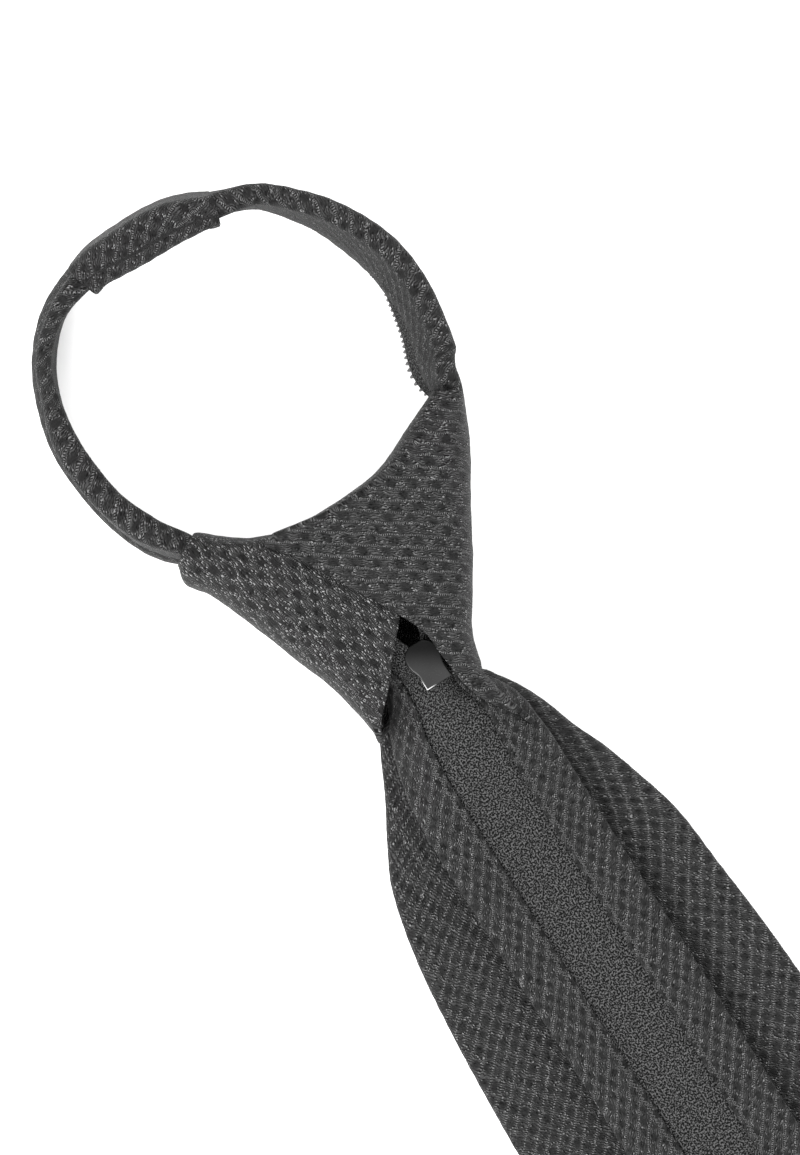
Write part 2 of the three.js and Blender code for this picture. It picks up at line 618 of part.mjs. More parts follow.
function makeTape(name, path) {
  const rows = bandStations(path).map((key) => {
    const frame = bandFrame(path, key);
    const columns = [TAPE_INNER_EDGE, frontEdge(path, key), TAPE_SHOWING, BAND_MIDDLE, TAPE_WIDTH];
    return columns.map((w) => bandPoint(frame, w, 0));
  });
  return thickSheet(name, rows, TAPE_WALL, tape);
}

// Tilt of a coil's inner side under a curled band: at its top and at its bottom
const COIL_SIDE = { top: 1, bottom: 3.2 };

// Coil under one tape: its teeth stand past the tape's edge where the zip is open
function makeCoil(name, path) {
  const top = -TAPE_WALL / 2 - CLEARANCE;
  const sections = bandStations(path).map((key) => {
    const frame = bandFrame(path, key);
    const opened = THREE.MathUtils.smoothstep(key, path.keys[SLIDER_ROW], path.keys[OPEN_ROW]);
    const inner = TAPE_INNER_EDGE - opened * COIL_OPENING;
    const outer = inner + COIL_WIDTH;
    const slope = Math.max(0, -frame.curl) * COIL_TILT;
    return [
      bandPoint(frame, inner + slope * COIL_SIDE.top, top),
      bandPoint(frame, outer, top),
      bandPoint(frame, outer, top - COIL_THICKNESS),
      bandPoint(frame, inner + slope * COIL_SIDE.bottom, top - COIL_THICKNESS),
    ];
  });
  return loftedBar(name, sections, nylon);
}

// Slider: two plates joined by a post between the parting coils. Its length runs along Y.
const SLIDER_OUTLINE = [
  // share of length from the nose, half width as a share of SLIDER_WIDTH / 2
  [0.00, 0.42],
  [0.10, 0.80],
  [0.30, 1.00],
  [0.45, 0.98],
  [0.62, 0.83],
  [1.00, 0.78],
];

// Shares of SLIDER_LENGTH: the nose past the point where the coils part, and the post
const SLIDER_PLACES = { nose: 0.42, postFrom: 0.04, postTo: 0.14 };

function makeSlider(path) {
  const [axisX, closedY, coilZ] = path.track(path.keys[SLIDER_ROW]);
  const noseY = closedY + SLIDER_LENGTH * SLIDER_PLACES.nose;
  const plate = (width) => {
    const outline = SLIDER_OUTLINE.map(([share, half]) => {
      return new THREE.Vector2((half * width) / 2, -share * SLIDER_LENGTH);
    });
    const mirrored = outline.slice().reverse().map((p) => new THREE.Vector2(-p.x, p.y));
    return new THREE.Shape([...outline, ...mirrored]);
  };
  const topZ = coilZ + TAPE_WALL / 2 + CLEARANCE;
  const bottomZ = coilZ - TAPE_WALL / 2 - COIL_THICKNESS - 2 * CLEARANCE - SLIDER_THROAT;
  const post = new THREE.Shape();
  const half = SLIDER_POST / 2;
  const [postFrom, postTo] = [SLIDER_PLACES.postFrom, SLIDER_PLACES.postTo].map((share) => {
    return -SLIDER_LENGTH * share;
  });
  post.moveTo(-half, postFrom);
  post.lineTo(half, postFrom);
  post.lineTo(half, postTo);
  post.lineTo(-half, postTo);
  post.closePath();
  const options = { bevelEnabled: false };
  const slab = (outlineShape, from, to) => {
    const geometry = new THREE.ExtrudeGeometry(outlineShape, { ...options, depth: to - from });
    geometry.translate(axisX, noseY, from);
    return geometry;
  };
  return [
    slab(plate(SLIDER_WIDTH), topZ, topZ + SLIDER_PLATE),
    slab(plate(SLIDER_UNDER_WIDTH), bottomZ - SLIDER_PLATE, bottomZ),
    slab(post, bottomZ - SLIDER_PLATE / 2, topZ + SLIDER_PLATE / 2),
  ];
}

// Joining of solids
const wasm = await Module();
wasm.setup();

function solidFrom(geometry) {
  const bare = geometry.clone();
  bare.deleteAttribute('normal');
  bare.deleteAttribute('uv');
  const merged = mergeVertices(bare, 1e-4);
  const vertProperties = new Float32Array(merged.attributes.position.array);
  const triVerts = new Uint32Array(merged.index.array);
  return new wasm.Manifold(new wasm.Mesh({ numProp: 3, vertProperties, triVerts }));
}

function meshFromSolid(name, solid, material) {
  const { vertProperties, triVerts } = solid.getMesh();
  const geometry = new THREE.BufferGeometry();
  geometry.setAttribute('position', new THREE.BufferAttribute(new Float32Array(vertProperties), 3));
  geometry.setIndex(new THREE.BufferAttribute(new Uint32Array(triVerts), 1));
  geometry.computeVertexNormals();
  const mesh = new THREE.Mesh(geometry, material);
  mesh.name = name;
  return mesh;
}

function joined(name, geometries, material) {
  const solid = geometries.map(solidFrom).reduce((sum, next) => sum.add(next));
  return meshFromSolid(name, solid, material);
}

// Radius of a sleeve's corners inside, as a share of its room on the outer side
const SLEEVE_SHAPE = { corner: 0.75 };

// One ring of a sleeve round a band, a rounded box in (w, n): outer is its room on the outer
// side of the loop, inner its room towards the neck
function sleeveRing(frame, low, high, outer, inner, wall) {
  const ring = [];
  const corner = outer * SLEEVE_SHAPE.corner;
  const radius = corner + wall / 2;
  const corners = [
    // w, n, degrees
    [high - corner, inner - corner, 0],
    [low + corner, inner - corner, 90],
    [low + corner, corner - outer, 180],
    [high - corner, corner - outer, 270],
  ];
  for (const [w, n, start] of corners) {
    for (const turn of [0, 45, 90]) {
      const angle = radians(start + turn);
      ring.push(bandPoint(frame, w + radius * Math.cos(angle), n + radius * Math.sin(angle)));
    }
  }
  return ring;
}

// Places of the nape panel's rings, as shares of its half length from the middle
const NAPE_SHARES = [1, 0.93, 0.82, 0.6, 0.4, 0.2, 0.02];

// Sleeve over both band ends: bowed outside, straight towards the neck, with a nub at each end
function makeNapePanel(rightPath, leftPath) {
  const low = -COIL_WIDTH / 2 - 2 * NAPE_MARGIN;
  const high = BAND_WIDTH + CLEARANCE + NAPE_MARGIN / 2;
  const outer = TAPE_WALL / 2 + COIL_THICKNESS + 2 * CLEARANCE;
  const sideRows = (path) => NAPE_SHARES.map((share) => {
    const end = path.keys[path.keys.length - 1];
    const frame = bandFrame(path, end - (share * NAPE_LENGTH) / 2);
    const fromEnd = ((1 - share) * NAPE_LENGTH) / 2;
    const nub = NUB_HEIGHT * Math.exp(-((fromEnd / NUB_LENGTH) ** 2));
    const inner = BAND_FACE + CLEARANCE + NAPE_CHORD * (1 - share ** 2) + nub;
    return sleeveRing(frame, low, high, outer, Math.max(inner, outer), NAPE_WALL);
  });
  const rows = [...sideRows(rightPath), ...sideRows(leftPath).reverse()];
  return thickSheet('nape_panel', rows, NAPE_WALL, cloth, true);
}

// Plain end of the tail, a flat sleeve that narrows and closes past the bands
const TAIL_END_ROWS = [
  // along, half width as a share of BAND_WIDTH, thickness as a share of the open end's
  [0.00, 1.00, 1.00],
  [0.35, 1.00, 1.00],
  [0.55, 0.99, 0.80],
  [0.75, 0.90, 0.55],
  [0.90, 0.55, 0.42],
  [1.00, 0.20, 0.40],
];

const TAIL_END_SHAPE = { startShare: 0.35, sidePower: 0.35, facePower: 0.4, points: 16 };

function makeTailEnd() {
  const { startShare, sidePower, facePower, points } = TAIL_END_SHAPE;
  const axis = TAIL_ROWS[0][0] * KNOT_WIDTH;
  const top = BAND_FACE + CLEARANCE;
  const bottom = TAPE_WALL / 2 + COIL_THICKNESS + 2 * CLEARANCE;
  const opening = (top + bottom + TAIL_END_WALL) / 2;
  const centre = TAIL_LEVEL + (top - bottom) / 2;
  const startY = -TAIL_LENGTH + TAIL_END_LENGTH * startShare;
  const rounded = (value, power) => Math.sign(value) * Math.abs(value) ** power;
  const rows = TAIL_END_ROWS.map(([along, wide, thick]) => {
    const half = wide * (BAND_WIDTH + CLEARANCE + TAIL_END_WALL);
    const rise = opening * thick;
    const ring = [];
    for (let k = 0; k < points; k += 1) {
      const angle = (2 * Math.PI * (k + 0.5)) / points;
      const x = rounded(Math.cos(angle), sidePower) * half;
      const z = rounded(Math.sin(angle), facePower) * rise;
      ring.push(new THREE.Vector3(axis + x, startY - along * TAIL_END_LENGTH, centre + z));
    }
    return ring;
  });
  return thickSheet('tail_end', rows, TAIL_END_WALL, cloth, true);
}

const rightPath = bandPath(1, RIGHT_KNOT_ROWS, RIGHT_LOOP_ROWS);
const leftPath = bandPath(-1, LEFT_KNOT_ROWS, LEFT_LOOP_ROWS);

const tie = new THREE.Group();
tie.add(makeBlade());
tie.add(makeFront());
tie.add(makeWing('knot_wing_right', RIGHT_WING));
tie.add(makeWing('knot_wing_left', LEFT_WING));
tie.add(makeBand('band_right', rightPath));
tie.add(makeBand('band_left', leftPath));
tie.add(makeTape('zip_tape_right', rightPath));
tie.add(makeTape('zip_tape_left', leftPath));
tie.add(makeCoil('zip_coil_right', rightPath));
tie.add(makeCoil('zip_coil_left', leftPath));
tie.add(joined('zip_slider', makeSlider(rightPath), gloss));
tie.add(makeNapePanel(rightPath, leftPath));
tie.add(makeTailEnd());

// The origin is the middle of the tie's outline, on the surface that it lies on
const outline = new THREE.Box3().setFromObject(tie, true);
const middle = outline.getCenter(new THREE.Vector3());
tie.position.set(-middle.x, -middle.y, -outline.min.z);
tie.updateMatrixWorld(true);

export default tie;
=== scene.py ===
# Looks of the zipper tie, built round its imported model.
# Shapes are worked out in millimetres in the blade's frame, where the point (0, 0) is the start
# of the knot's opening, +Y runs to the neck loop and +Z is up from the floor.

import math

import bpy
import numpy as np
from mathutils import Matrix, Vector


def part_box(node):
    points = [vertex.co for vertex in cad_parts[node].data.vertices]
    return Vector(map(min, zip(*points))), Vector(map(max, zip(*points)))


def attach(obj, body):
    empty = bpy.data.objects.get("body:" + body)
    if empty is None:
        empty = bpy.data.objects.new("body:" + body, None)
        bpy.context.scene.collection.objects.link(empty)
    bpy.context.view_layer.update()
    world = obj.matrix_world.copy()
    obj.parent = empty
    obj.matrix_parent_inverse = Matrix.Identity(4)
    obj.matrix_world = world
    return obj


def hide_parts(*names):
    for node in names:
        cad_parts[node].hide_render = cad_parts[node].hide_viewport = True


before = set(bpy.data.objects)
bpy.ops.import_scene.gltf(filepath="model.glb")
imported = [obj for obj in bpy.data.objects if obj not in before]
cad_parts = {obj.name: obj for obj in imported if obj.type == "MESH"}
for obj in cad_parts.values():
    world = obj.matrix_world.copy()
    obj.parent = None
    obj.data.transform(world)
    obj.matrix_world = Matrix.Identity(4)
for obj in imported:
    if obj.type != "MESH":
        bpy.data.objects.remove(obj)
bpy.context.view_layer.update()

METRE = 0.001
PI = math.pi

# Blade
BLADE_LENGTH = 452
BLADE_WIDTH = 80
BLADE_WALL = 1.2
BLADE_HEIGHT = 4.2
BLADE_SEAM_GAP = 1.0
BLADE_HEM = 15
TIP_LENGTH = 40
BLADE_POINT_HALF = 2.4
TIP_HEM_RATE = 4
BLADE_CELL = ((-1.8, -1.9), (1.95, -2.4))

# Knot
KNOT_WIDTH = 72
KNOT_HEIGHT = 60
KNOT_DEPTH = 22.5
KNOT_WALL = 1.3
FRONT_WALL = 1.4
FRONT_CROWN = 2.2
WING_RETURN = 7
BODY_FRONT = 0.11
CUFF_FLATNESS = 0.55
TUCK_SHARE = 0.3
LEAST_TUCK = 0.08
LAP_SLOPE = 2.5
LAP_START = 0.9
FRONT_SHAPE = {"sides": 0.45, "ends": 0.12, "shown": 0.45}
FRONT_RELIEF = 0.5
RIGHT_WING_CELL = ((-2.74, -1.1), (1.2, -3.8))
LEFT_WING_CELL = ((2.72, -2.2), (-1.18, -3.1))

# Bands and zip
BAND_WIDTH = 17.5
BAND_WALL = 1.0
TAPE_SHOWING = 7.5
TAPE_WIDTH = 15
TAPE_WALL = 0.5
LAYER_GAP = 0.5
TAPE_INNER_EDGE = 0.4
COIL_THICKNESS = 1.6
COIL_WIDTH = 2.4
COIL_OPENING = 1.3
TAIL_LENGTH = 330
TAIL_LEVEL = 8.9
BAND_CELL = ((1.5, -2.1), (-1.5, -2.1))
TAPE_STEP = 0.04
TAPE_OPENS_AFTER = 2
BARE_PAST_ROW = 3
COVER_EDGE = -1.0
LOOP_TOP_EDGE = -0.2
LOOP_TEETH = 0.5
SLIDER_HEM = 2.6
HEM_DIP = 0.42
HEM_DIP_SPREAD = 1.6
PUFF_RISE = 7.0
PUFF_BLEND = 3.0

# Turns of the coils
COIL_PITCH = 1.3
COIL_WIRE = 0.3
COIL_MESH_OVERLAP = 0.75
COIL_PEEK = 1.3
COIL_SLOPE = 0.25
COIL_SLOPE_BELOW = 2.2

# Groove of the stitches in the tail, and the zigzag thread along the hems
STITCH_MARGIN = 1.9
STITCH_DEPTH = 0.16
STITCH_SPREAD = 0.35
HEM_STITCH = 0.9
HEM_STITCH_REACH = 0.3
HEM_THREAD = 0.09
HEM_FROM_EDGE = 0.7

# Neck loop, nape panel and tail end
LOOP_WIDTH = 81
LOOP_HEIGHT = 64.6
LOOP_LEVEL = 2.2
NAPE_LENGTH = 31
NAPE_WALL = 1.1
NAPE_MARGIN = 0.8
NAPE_CELL = ((2.0, -2.0), (-2.0, -2.0))
NAPE_OUTER = 0.6
NAPE_INNER = 0.5
NAPE_SINK = 0.3
NAPE_SWELL = 0.8
NAPE_SWELL_FROM = 0.2
NAPE_SWELL_TO = 0.9
NAPE_RIGHT_SINK = 0.5
NAPE_BLEND = 5.0
NAPE_CHORD = 3.0
NAPE_FIRST_ROW = 0.012
NUB_HEIGHT = 1.1
NUB_LENGTH = 1.6
SLEEVE_CORNER = 0.75
TAIL_END_LENGTH = 26
TAIL_END_WALL = 1.1
TAIL_END_OVERLAP = 0.35
TAIL_END_SIDES = 0.35
TAIL_END_FACES = 0.4

# Slider
SLIDER_LENGTH = 10
SLIDER_WIDTH = 7.8
SLIDER_UNDER_WIDTH = 5.4
SLIDER_PLATE = 1.5
SLIDER_POST = 1.3
SLIDER_NOSE = 0.42
SLIDER_UNDER_GAP = 0.8
POST_FRONT = 0.4
POST_REAR = 0.14
POST_SINK = 0.2
PLATE_RINGS = [
    # inset, height as a share of the plate's thickness
    (0.30, 0.00),
    (0.08, 0.08),
    (0.00, 0.30),
    (0.00, 0.72),
    (0.08, 0.90),
    (0.28, 1.00),
    (0.60, 1.00),
]

CLEARANCE = 0.4

# What follows from the sizes above
HORN_Y = 0.556 * KNOT_HEIGHT
BAND_LAYER = TAPE_WALL / 2 + LAYER_GAP + BAND_WALL / 2
BAND_FACE = BAND_LAYER + BAND_WALL / 2
FOLD_CENTRE = BAND_WIDTH - BAND_FACE
COIL_COVER = COIL_THICKNESS - BAND_LAYER + TAPE_WALL / 2 + CLEARANCE + BAND_WALL
TAIL_FRONT_EDGE = COIL_WIDTH + 3.5
LOOP_FRONT_EDGE = COIL_WIDTH + 0.8
LAP_STEP = KNOT_WALL + CLEARANCE

# Detail of the meshes, in millimetres between two lines of points
VISIBLE_FROM = -140
FINE_STEP = 1.0
COARSE_STEP = 3.5
TAPE_FINE_STEP = 1.5
TRAVEL_STEP = 0.5
LEAST_GAP = 0.05
LEAST_LENGTH = 1e-9
RIM_ANGLES = (90, 60, 30)

# Detail of the meshes, in counts of points and of rows
BOTTOM_POINTS = 26
FOLD_POINTS = 7
FLAP_POINTS = 38
TIP_ROWS = 24
WING_DETAIL = {"turn": 6, "layer": 34, "side": 26, "tuck": 6}
WING_ROW_STEP = 1 / 8
FRONT_ROW_STEP = 0.15
FRONT_POINTS = 61
BAND_DETAIL = {"top": 19, "turn": 13, "under": 12, "hem": 11}
TAPE_POINTS = 16
COIL_TURN_POINTS = 12
HEM_STITCH_POINTS = 6
CORNER_POINTS = 7
NAPE_ROW_STEP = 0.06
TAIL_END_ROW_STEP = 0.05
TAIL_END_POINTS = 96
PLATE_DETAIL = {"side": 25, "rear": 13, "nose": 9}
TUBE_SIDES = 6
TUBE_CAP = [[0, 1, 2, 3], [0, 3, 4, 5]]

# Relief of the weave in millimetres, and the dots that each of its cells has on a dotted line
WEAVE_HEIGHT = 0.11
DOTS_IN_CELL = 6

# Photograph: the camera's aim in the blade's frame, its turn and how much it shows from top to bottom
CAMERA_AIM = (8.2, 5.8)
CAMERA_LEVEL = 8.0
CAMERA_TURN = -32.05
CAMERA_LENS = 100
CAMERA_SENSOR = 36
VIEW_HEIGHT = 251.1

# Floor and lights, in metres and watts
FLOOR_SIZE = 6.0
WORLD_LIGHT = 2.0
LIGHT_AIM = (0.0, 0.17, 0.0)
KEY_LIGHT = {"place": (-0.75, -0.35, 1.1), "size": 0.8, "power": 30}
FILL_LIGHT = {"place": (0.8, 0.8, 1.3), "size": 1.2, "power": 12}


def smoothstep(value, low, high):
    """0 up to low, 1 from high on, and smooth between them."""
    t = np.clip((np.asarray(value, float) - low) / (high - low), 0, 1)
    return t * t * (3 - 2 * t)


def unit(vectors):
    """The vectors at length 1."""
    lengths = np.linalg.norm(vectors, axis=-1, keepdims=True)
    return vectors / np.maximum(lengths, LEAST_LENGTH)


def smooth_table(keys, rows):
    """Smooth interpolation of every column of a table against its keys."""
    keys = np.asarray(keys, float)
    rows = np.asarray(rows, float)
    spans = np.diff(keys)
    secants = np.diff(rows, axis=0) / spans[:, None]
    slopes = np.empty_like(rows)
    slopes[0] = secants[0]
    slopes[-1] = secants[-1]
    weights = (spans[:-1] + spans[1:])[:, None]
    slopes[1:-1] = (secants[:-1] * spans[1:, None] + secants[1:] * spans[:-1, None]) / weights

    def track(key):
        key = np.asarray(key, float)
        i = np.clip(np.searchsorted(keys, key) - 1, 0, len(keys) - 2)
        span = spans[i][..., None]
        t = ((key - keys[i]) / spans[i])[..., None]
        blend = t * t * (3 - 2 * t)
        leave = t * (1 - t) * (1 - t) * span
        arrive = -t * t * (1 - t) * span
        straight = rows[i] * (1 - blend) + rows[i + 1] * blend
        return straight + slopes[i] * leave + slopes[i + 1] * arrive

    return track


def row_shift():
    """Place of the blade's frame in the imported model, from the slider's nose and sides."""
    low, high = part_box("zip_slider")
    across, up = RIGHT_KNOT_ROWS[SLIDER_ROW][:2]
    nose_x = across * KNOT_WIDTH
    nose_y = up * KNOT_HEIGHT + SLIDER_NOSE * SLIDER_LENGTH
    middle_x = (low[0] + high[0]) / 2 / METRE
    return np.array([middle_x - nose_x, high[1] / METRE - nose_y, 0.0])


def even(start, end, step):
    """Numbers from start to end, evenly apart by no more than step."""
    return np.linspace(start, end, max(2, int(math.ceil(abs(end - start) / step)) + 1))


def cells(places, first, second):
    """Places on the cloth in millimetres, turned into counts of cells with the sides first and second."""
    return places @ np.linalg.inv(np.array([first, second], float))


def weave_height(uv):
    """Raised threads between the spots, in millimetres."""
    spot = 0.5 + 0.25 * (np.cos(2 * PI * uv[..., 0]) + np.cos(2 * PI * uv[..., 1]))
    return WEAVE_HEIGHT * (0.5 - spot)


def placed(name, data):
    """New object in the scene."""
    thing = bpy.data.objects.new(name, data)
    bpy.context.scene.collection.objects.link(thing)
    return thing


def make_mesh(name, points, faces, uv, material):
    """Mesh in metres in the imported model's frame, outside faces outward, riding on the body."""
    a, b, c = (points[faces[:, k]] for k in range(3))
    d = points[faces[:, -1]]
    volume = (a * np.cross(b, c)).sum() + (a * np.cross(c, d)).sum()
    if volume < 0:
        faces = faces[:, ::-1]
    used, faces = np.unique(faces, return_inverse=True)
    faces = faces.reshape(-1, len(faces.ravel()) // len(a))
    mesh = bpy.data.meshes.new(name)
    mesh.from_pydata(((points[used] + SHIFT) * METRE).tolist(), [], faces.tolist())
    if uv is not None:
        layer = mesh.uv_layers.new(name="cloth")
        layer.data.foreach_set("uv", uv[used][faces.ravel()].astype(np.float32).ravel())
    mesh.shade_smooth()
    mesh.materials.append(material)
    piece = placed(name, mesh)
    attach(piece, "root")
    return piece


def quads(index):
    """Faces between neighbouring entries of a grid of point numbers."""
    corners = (index[:-1, :-1], index[:-1, 1:], index[1:, 1:], index[1:, :-1])
    return np.stack([c.ravel() for c in corners], axis=1)


def rounded_out(grid, uv, scale, outward, radius, axis, at_start):
    """The grid with extra lines past one edge, which the sheet's rounded rim needs."""
    edge = 0 if at_start else -1
    line = np.take(grid, edge, axis)
    cloth = np.take(uv, edge, axis)
    next_edge = 1 if at_start else -2
    beside = np.take(uv, next_edge, axis)
    gap = np.linalg.norm(line - np.take(grid, next_edge, axis), axis=-1, keepdims=True)
    step = (cloth - beside) / np.maximum(gap, LEAST_GAP)
    grids, cloths, scales = [], [], []
    angles = RIM_ANGLES if at_start else RIM_ANGLES[::-1]
    for angle in angles:
        reach = radius * math.sin(math.radians(angle))
        grids.append(line + outward * reach)
        cloths.append(cloth + step * reach)
        scales.append(np.take(scale, edge, axis) * math.cos(math.radians(angle)))
    parts = [np.stack(grids, axis), np.stack(cloths, axis), np.stack(scales, axis)]
    whole = [grid, uv, scale]
    if at_start:
        return [np.concatenate([p, w], axis) for p, w in zip(parts, whole)]
    return [np.concatenate([w, p], axis) for p, w in zip(parts, whole)]


def thick_sheet(name, grid, thickness, uv, material, relief=None, ring=False):
    """Cloth whose middle surface is the grid, with rounded rims; ring joins its columns in a tube."""
    along = np.gradient(grid, axis=0)
    if ring:
        across = np.roll(grid, -1, 1) - np.roll(grid, 1, 1)
    else:
        across = np.gradient(grid, axis=1)
    normal = unit(np.cross(along, across))
    scale = np.ones(grid.shape[:2])
    if relief is None:
        relief = np.zeros(grid.shape[:2])
    radius = thickness / 2
    pad = len(RIM_ANGLES)
    if not ring:
        sides = unit(across)
        grid, uv, scale = rounded_out(grid, uv, scale, -sides[:, 0], radius, 1, True)
        grid, uv, scale = rounded_out(grid, uv, scale, sides[:, -1], radius, 1, False)
        normal, relief, along = (
            np.pad(x, [(0, 0), (pad, pad)] + [(0, 0)] * (x.ndim - 2), mode="edge")
            for x in (normal, relief, along)
        )
    ends = unit(along)
    grid, uv, scale = rounded_out(grid, uv, scale, -ends[0], radius, 0, True)
    grid, uv, scale = rounded_out(grid, uv, scale, ends[-1], radius, 0, False)
    normal, relief = (
        np.pad(x, [(pad, pad), (0, 0)] + [(0, 0)] * (x.ndim - 2), mode="edge")
        for x in (normal, relief)
    )
    half = ((radius + relief) * scale)[..., None]
    outer = (grid + normal * half).reshape(-1, 3)
    inner = (grid - normal * half).reshape(-1, 3)
    count = len(outer)
    top = np.arange(count).reshape(grid.shape[:2])
    bottom = top + count
    for edge in (0, -1):
        bottom[edge] = top[edge]
        if not ring:
            bottom[:, edge] = top[:, edge]
    if ring:
        top = np.concatenate([top, top[:, :1]], axis=1)
        bottom = np.concatenate([bottom, bottom[:, :1]], axis=1)
    faces = np.concatenate([quads(top), quads(bottom)[:, ::-1]])
    both_uv = np.tile(uv.reshape(-1, 2), (2, 1))
    return make_mesh(name, np.concatenate([outer, inner]), faces, both_uv, material)


def arc_lengths(grid, axis=1):
    """Distance along each line of the grid from its first point."""
    steps = np.linalg.norm(np.diff(grid, axis=axis), axis=-1)
    lengths = np.cumsum(steps, axis=axis)
    first = np.zeros_like(np.take(lengths, [0], axis))
    return np.concatenate([first, lengths], axis)


# Tables that the solids are lofted from: shares of the named sizes, as in the part's source

BLADE_ROWS = [
    # down, half, lift, arch, middle
    [0.036, 0.085, 0.12, 0.03, 0.000],
    [0.044, 0.090, 0.11, 0.03, 0.000],
    [0.050, 0.160, 0.06, 0.06, -0.004],
    [0.058, 0.191, 0.04, 0.12, -0.001],
    [0.080, 0.252, 0.01, 0.15, 0.003],
    [0.100, 0.299, 0.00, 0.11, -0.008],
    [0.121, 0.350, 0.00, 0.06, -0.013],
    [0.143, 0.385, 0.00, 0.03, -0.011],
    [0.163, 0.410, 0.00, 0.01, -0.006],
    [0.206, 0.435, 0.00, 0.00, -0.006],
    [0.248, 0.452, 0.00, 0.00, -0.003],
    [0.279, 0.460, 0.00, 0.00, -0.002],
    [0.440, 0.472, 0.00, 0.00, 0.000],
    [0.680, 0.490, 0.00, 0.00, 0.000],
    [1.000, 0.500, 0.00, 0.00, 0.000],
]
BACK_ROWS = [
    # up, back
    [-0.60, 0.620],
    [-0.46, 0.745],
    [-0.34, 0.880],
    [-0.23, 0.945],
    [-0.13, 0.965],
    [0.00, 0.985],
    [0.20, 1.000],
    [0.47, 0.980],
    [0.60, 0.960],
]
RIGHT_WING = [
    # sideX, sideY, edgeX, edgeY, front, side, roll, turn, wrap, lap
    [0.566, 0.532, 0.480, 0.594, 0.020, 0.50, 0.50, 1.0, 1.0, 0],
    [0.538, 0.453, 0.365, 0.534, 0.060, 0.48, 0.38, 1.0, 1.0, 0],
    [0.510, 0.382, 0.208, 0.455, 0.110, 0.36, 0.22, 1.0, 1.0, 0],
    [0.476, 0.310, 0.000, 0.440, 0.110, 0.26, 0.13, 1.0, 1.0, 0],
    [0.439, 0.240, -0.171, 0.460, 0.110, 0.22, 0.05, 0.05, 1.0, 0],
    [0.403, 0.168, -0.117, 0.353, 0.110, 0.26, 0.04, 0.05, 1.0, 0],
    [0.369, 0.097, -0.063, 0.235, 0.110, 0.30, 0.04, 0.05, 1.0, 0],
    [0.336, 0.027, -0.008, 0.118, 0.110, 0.36, 0.05, 0.05, 1.0, 0],
    [0.297, -0.045, 0.046, 0.000, 0.110, 0.45, 0.07, 0.05, 1.0, 0],
    [0.258, -0.117, 0.088, -0.113, 0.110, 0.60, 0.10, 0.05, 1.0, 0],
    [0.219, -0.187, 0.094, -0.200, 0.110, 0.70, 0.14, 0.05, 1.0, 0],
    [0.197, -0.258, 0.100, -0.267, 0.110, 0.75, 0.16, 0.05, 0.9, 0],
    [0.186, -0.320, 0.108, -0.348, 0.110, 0.80, 0.18, 0.05, 0.35, 0],
    [0.192, -0.380, 0.124, -0.410, 0.110, 0.80, 0.18, 0.05, 0.25, 0.4],
    [0.203, -0.450, 0.152, -0.475, 0.110, 0.80, 0.18, 0.05, 0.2, 0.8],
    [0.216, -0.525, 0.188, -0.535, 0.110, 0.80, 0.18, 0.05, 0.2, 1.2],
    [0.226, -0.590, 0.214, -0.590, 0.110, 0.80, 0.18, 0.05, 0.2, 1.6],
]
LEFT_WING = [
    # sideX, sideY, edgeX, edgeY, front, side, roll, turn, wrap, lap
    [-0.429, 0.543, -0.325, 0.618, 0.020, 0.50, 0.50, 1.0, 1.0, 0],
    [-0.443, 0.488, -0.271, 0.560, 0.060, 0.48, 0.38, 1.0, 1.0, 0.2],
    [-0.425, 0.452, -0.201, 0.498, 0.110, 0.36, 0.26, 1.0, 1.0, 0.8],
    [-0.403, 0.419, -0.111, 0.450, 0.110, 0.30, 0.20, 0.8, 1.0, 1],
    [-0.374, 0.346, -0.035, 0.367, 0.110, 0.28, 0.08, 0.05, 1.0, 1],
    [-0.350, 0.272, 0.007, 0.267, 0.110, 0.28, 0.06, 0.05, 1.0, 1],
    [-0.327, 0.199, 0.042, 0.167, 0.110, 0.28, 0.06, 0.05, 1.0, 1],
    [-0.304, 0.126, 0.063, 0.075, 0.110, 0.30, 0.06, 0.05, 1.0, 1],
    [-0.284, 0.052, 0.058, -0.008, 0.110, 0.32, 0.06, 0.05, 1.0, 1],
    [-0.260, -0.021, 0.004, -0.088, 0.110, 0.38, 0.08, 0.05, 1.0, 0.8],
    [-0.238, -0.094, -0.036, -0.143, 0.110, 0.48, 0.08, 0.05, 1.0, 0.5],
    [-0.222, -0.168, -0.097, -0.227, 0.110, 0.60, 0.12, 0.05, 1.0, 0.2],
    [-0.209, -0.241, -0.144, -0.283, 0.110, 0.70, 0.20, 0.05, 1.0, 0],
    [-0.200, -0.313, -0.172, -0.327, 0.110, 0.75, 0.20, 0.05, 0.9, 0],
    [-0.203, -0.363, -0.183, -0.357, 0.110, 0.75, 0.20, 0.05, 0.5, 0],
]
FRONT_ROWS = [
    # up, left, right
    [0.430, -0.370, 0.480],
    [0.300, -0.345, 0.445],
    [0.150, -0.300, 0.380],
    [0.000, -0.255, 0.305],
    [-0.150, -0.215, 0.225],
    [-0.250, -0.195, 0.180],
    [-0.335, -0.180, 0.160],
]
TAIL_ROWS = [
    # across, down, level, lean, curl, gather, middle
    [0.0139, 1.000, 0.00, 0, 0, 1.00, 0],
    [0.0139, 0.750, 0.00, 0, 0, 1.00, 0],
    [0.0139, 0.500, 0.00, 0, 0, 1.00, 0],
    [0.0139, 0.300, 0.00, 0, 0, 1.00, 0],
    [0.0090, 0.200, 0.00, 0, 0, 1.00, 0],
    [0.0090, 0.145, 0.05, 0, -6, 1.00, 0],
    [0.0139, 0.112, 0.22, 0, -34, 1.00, 0],
]
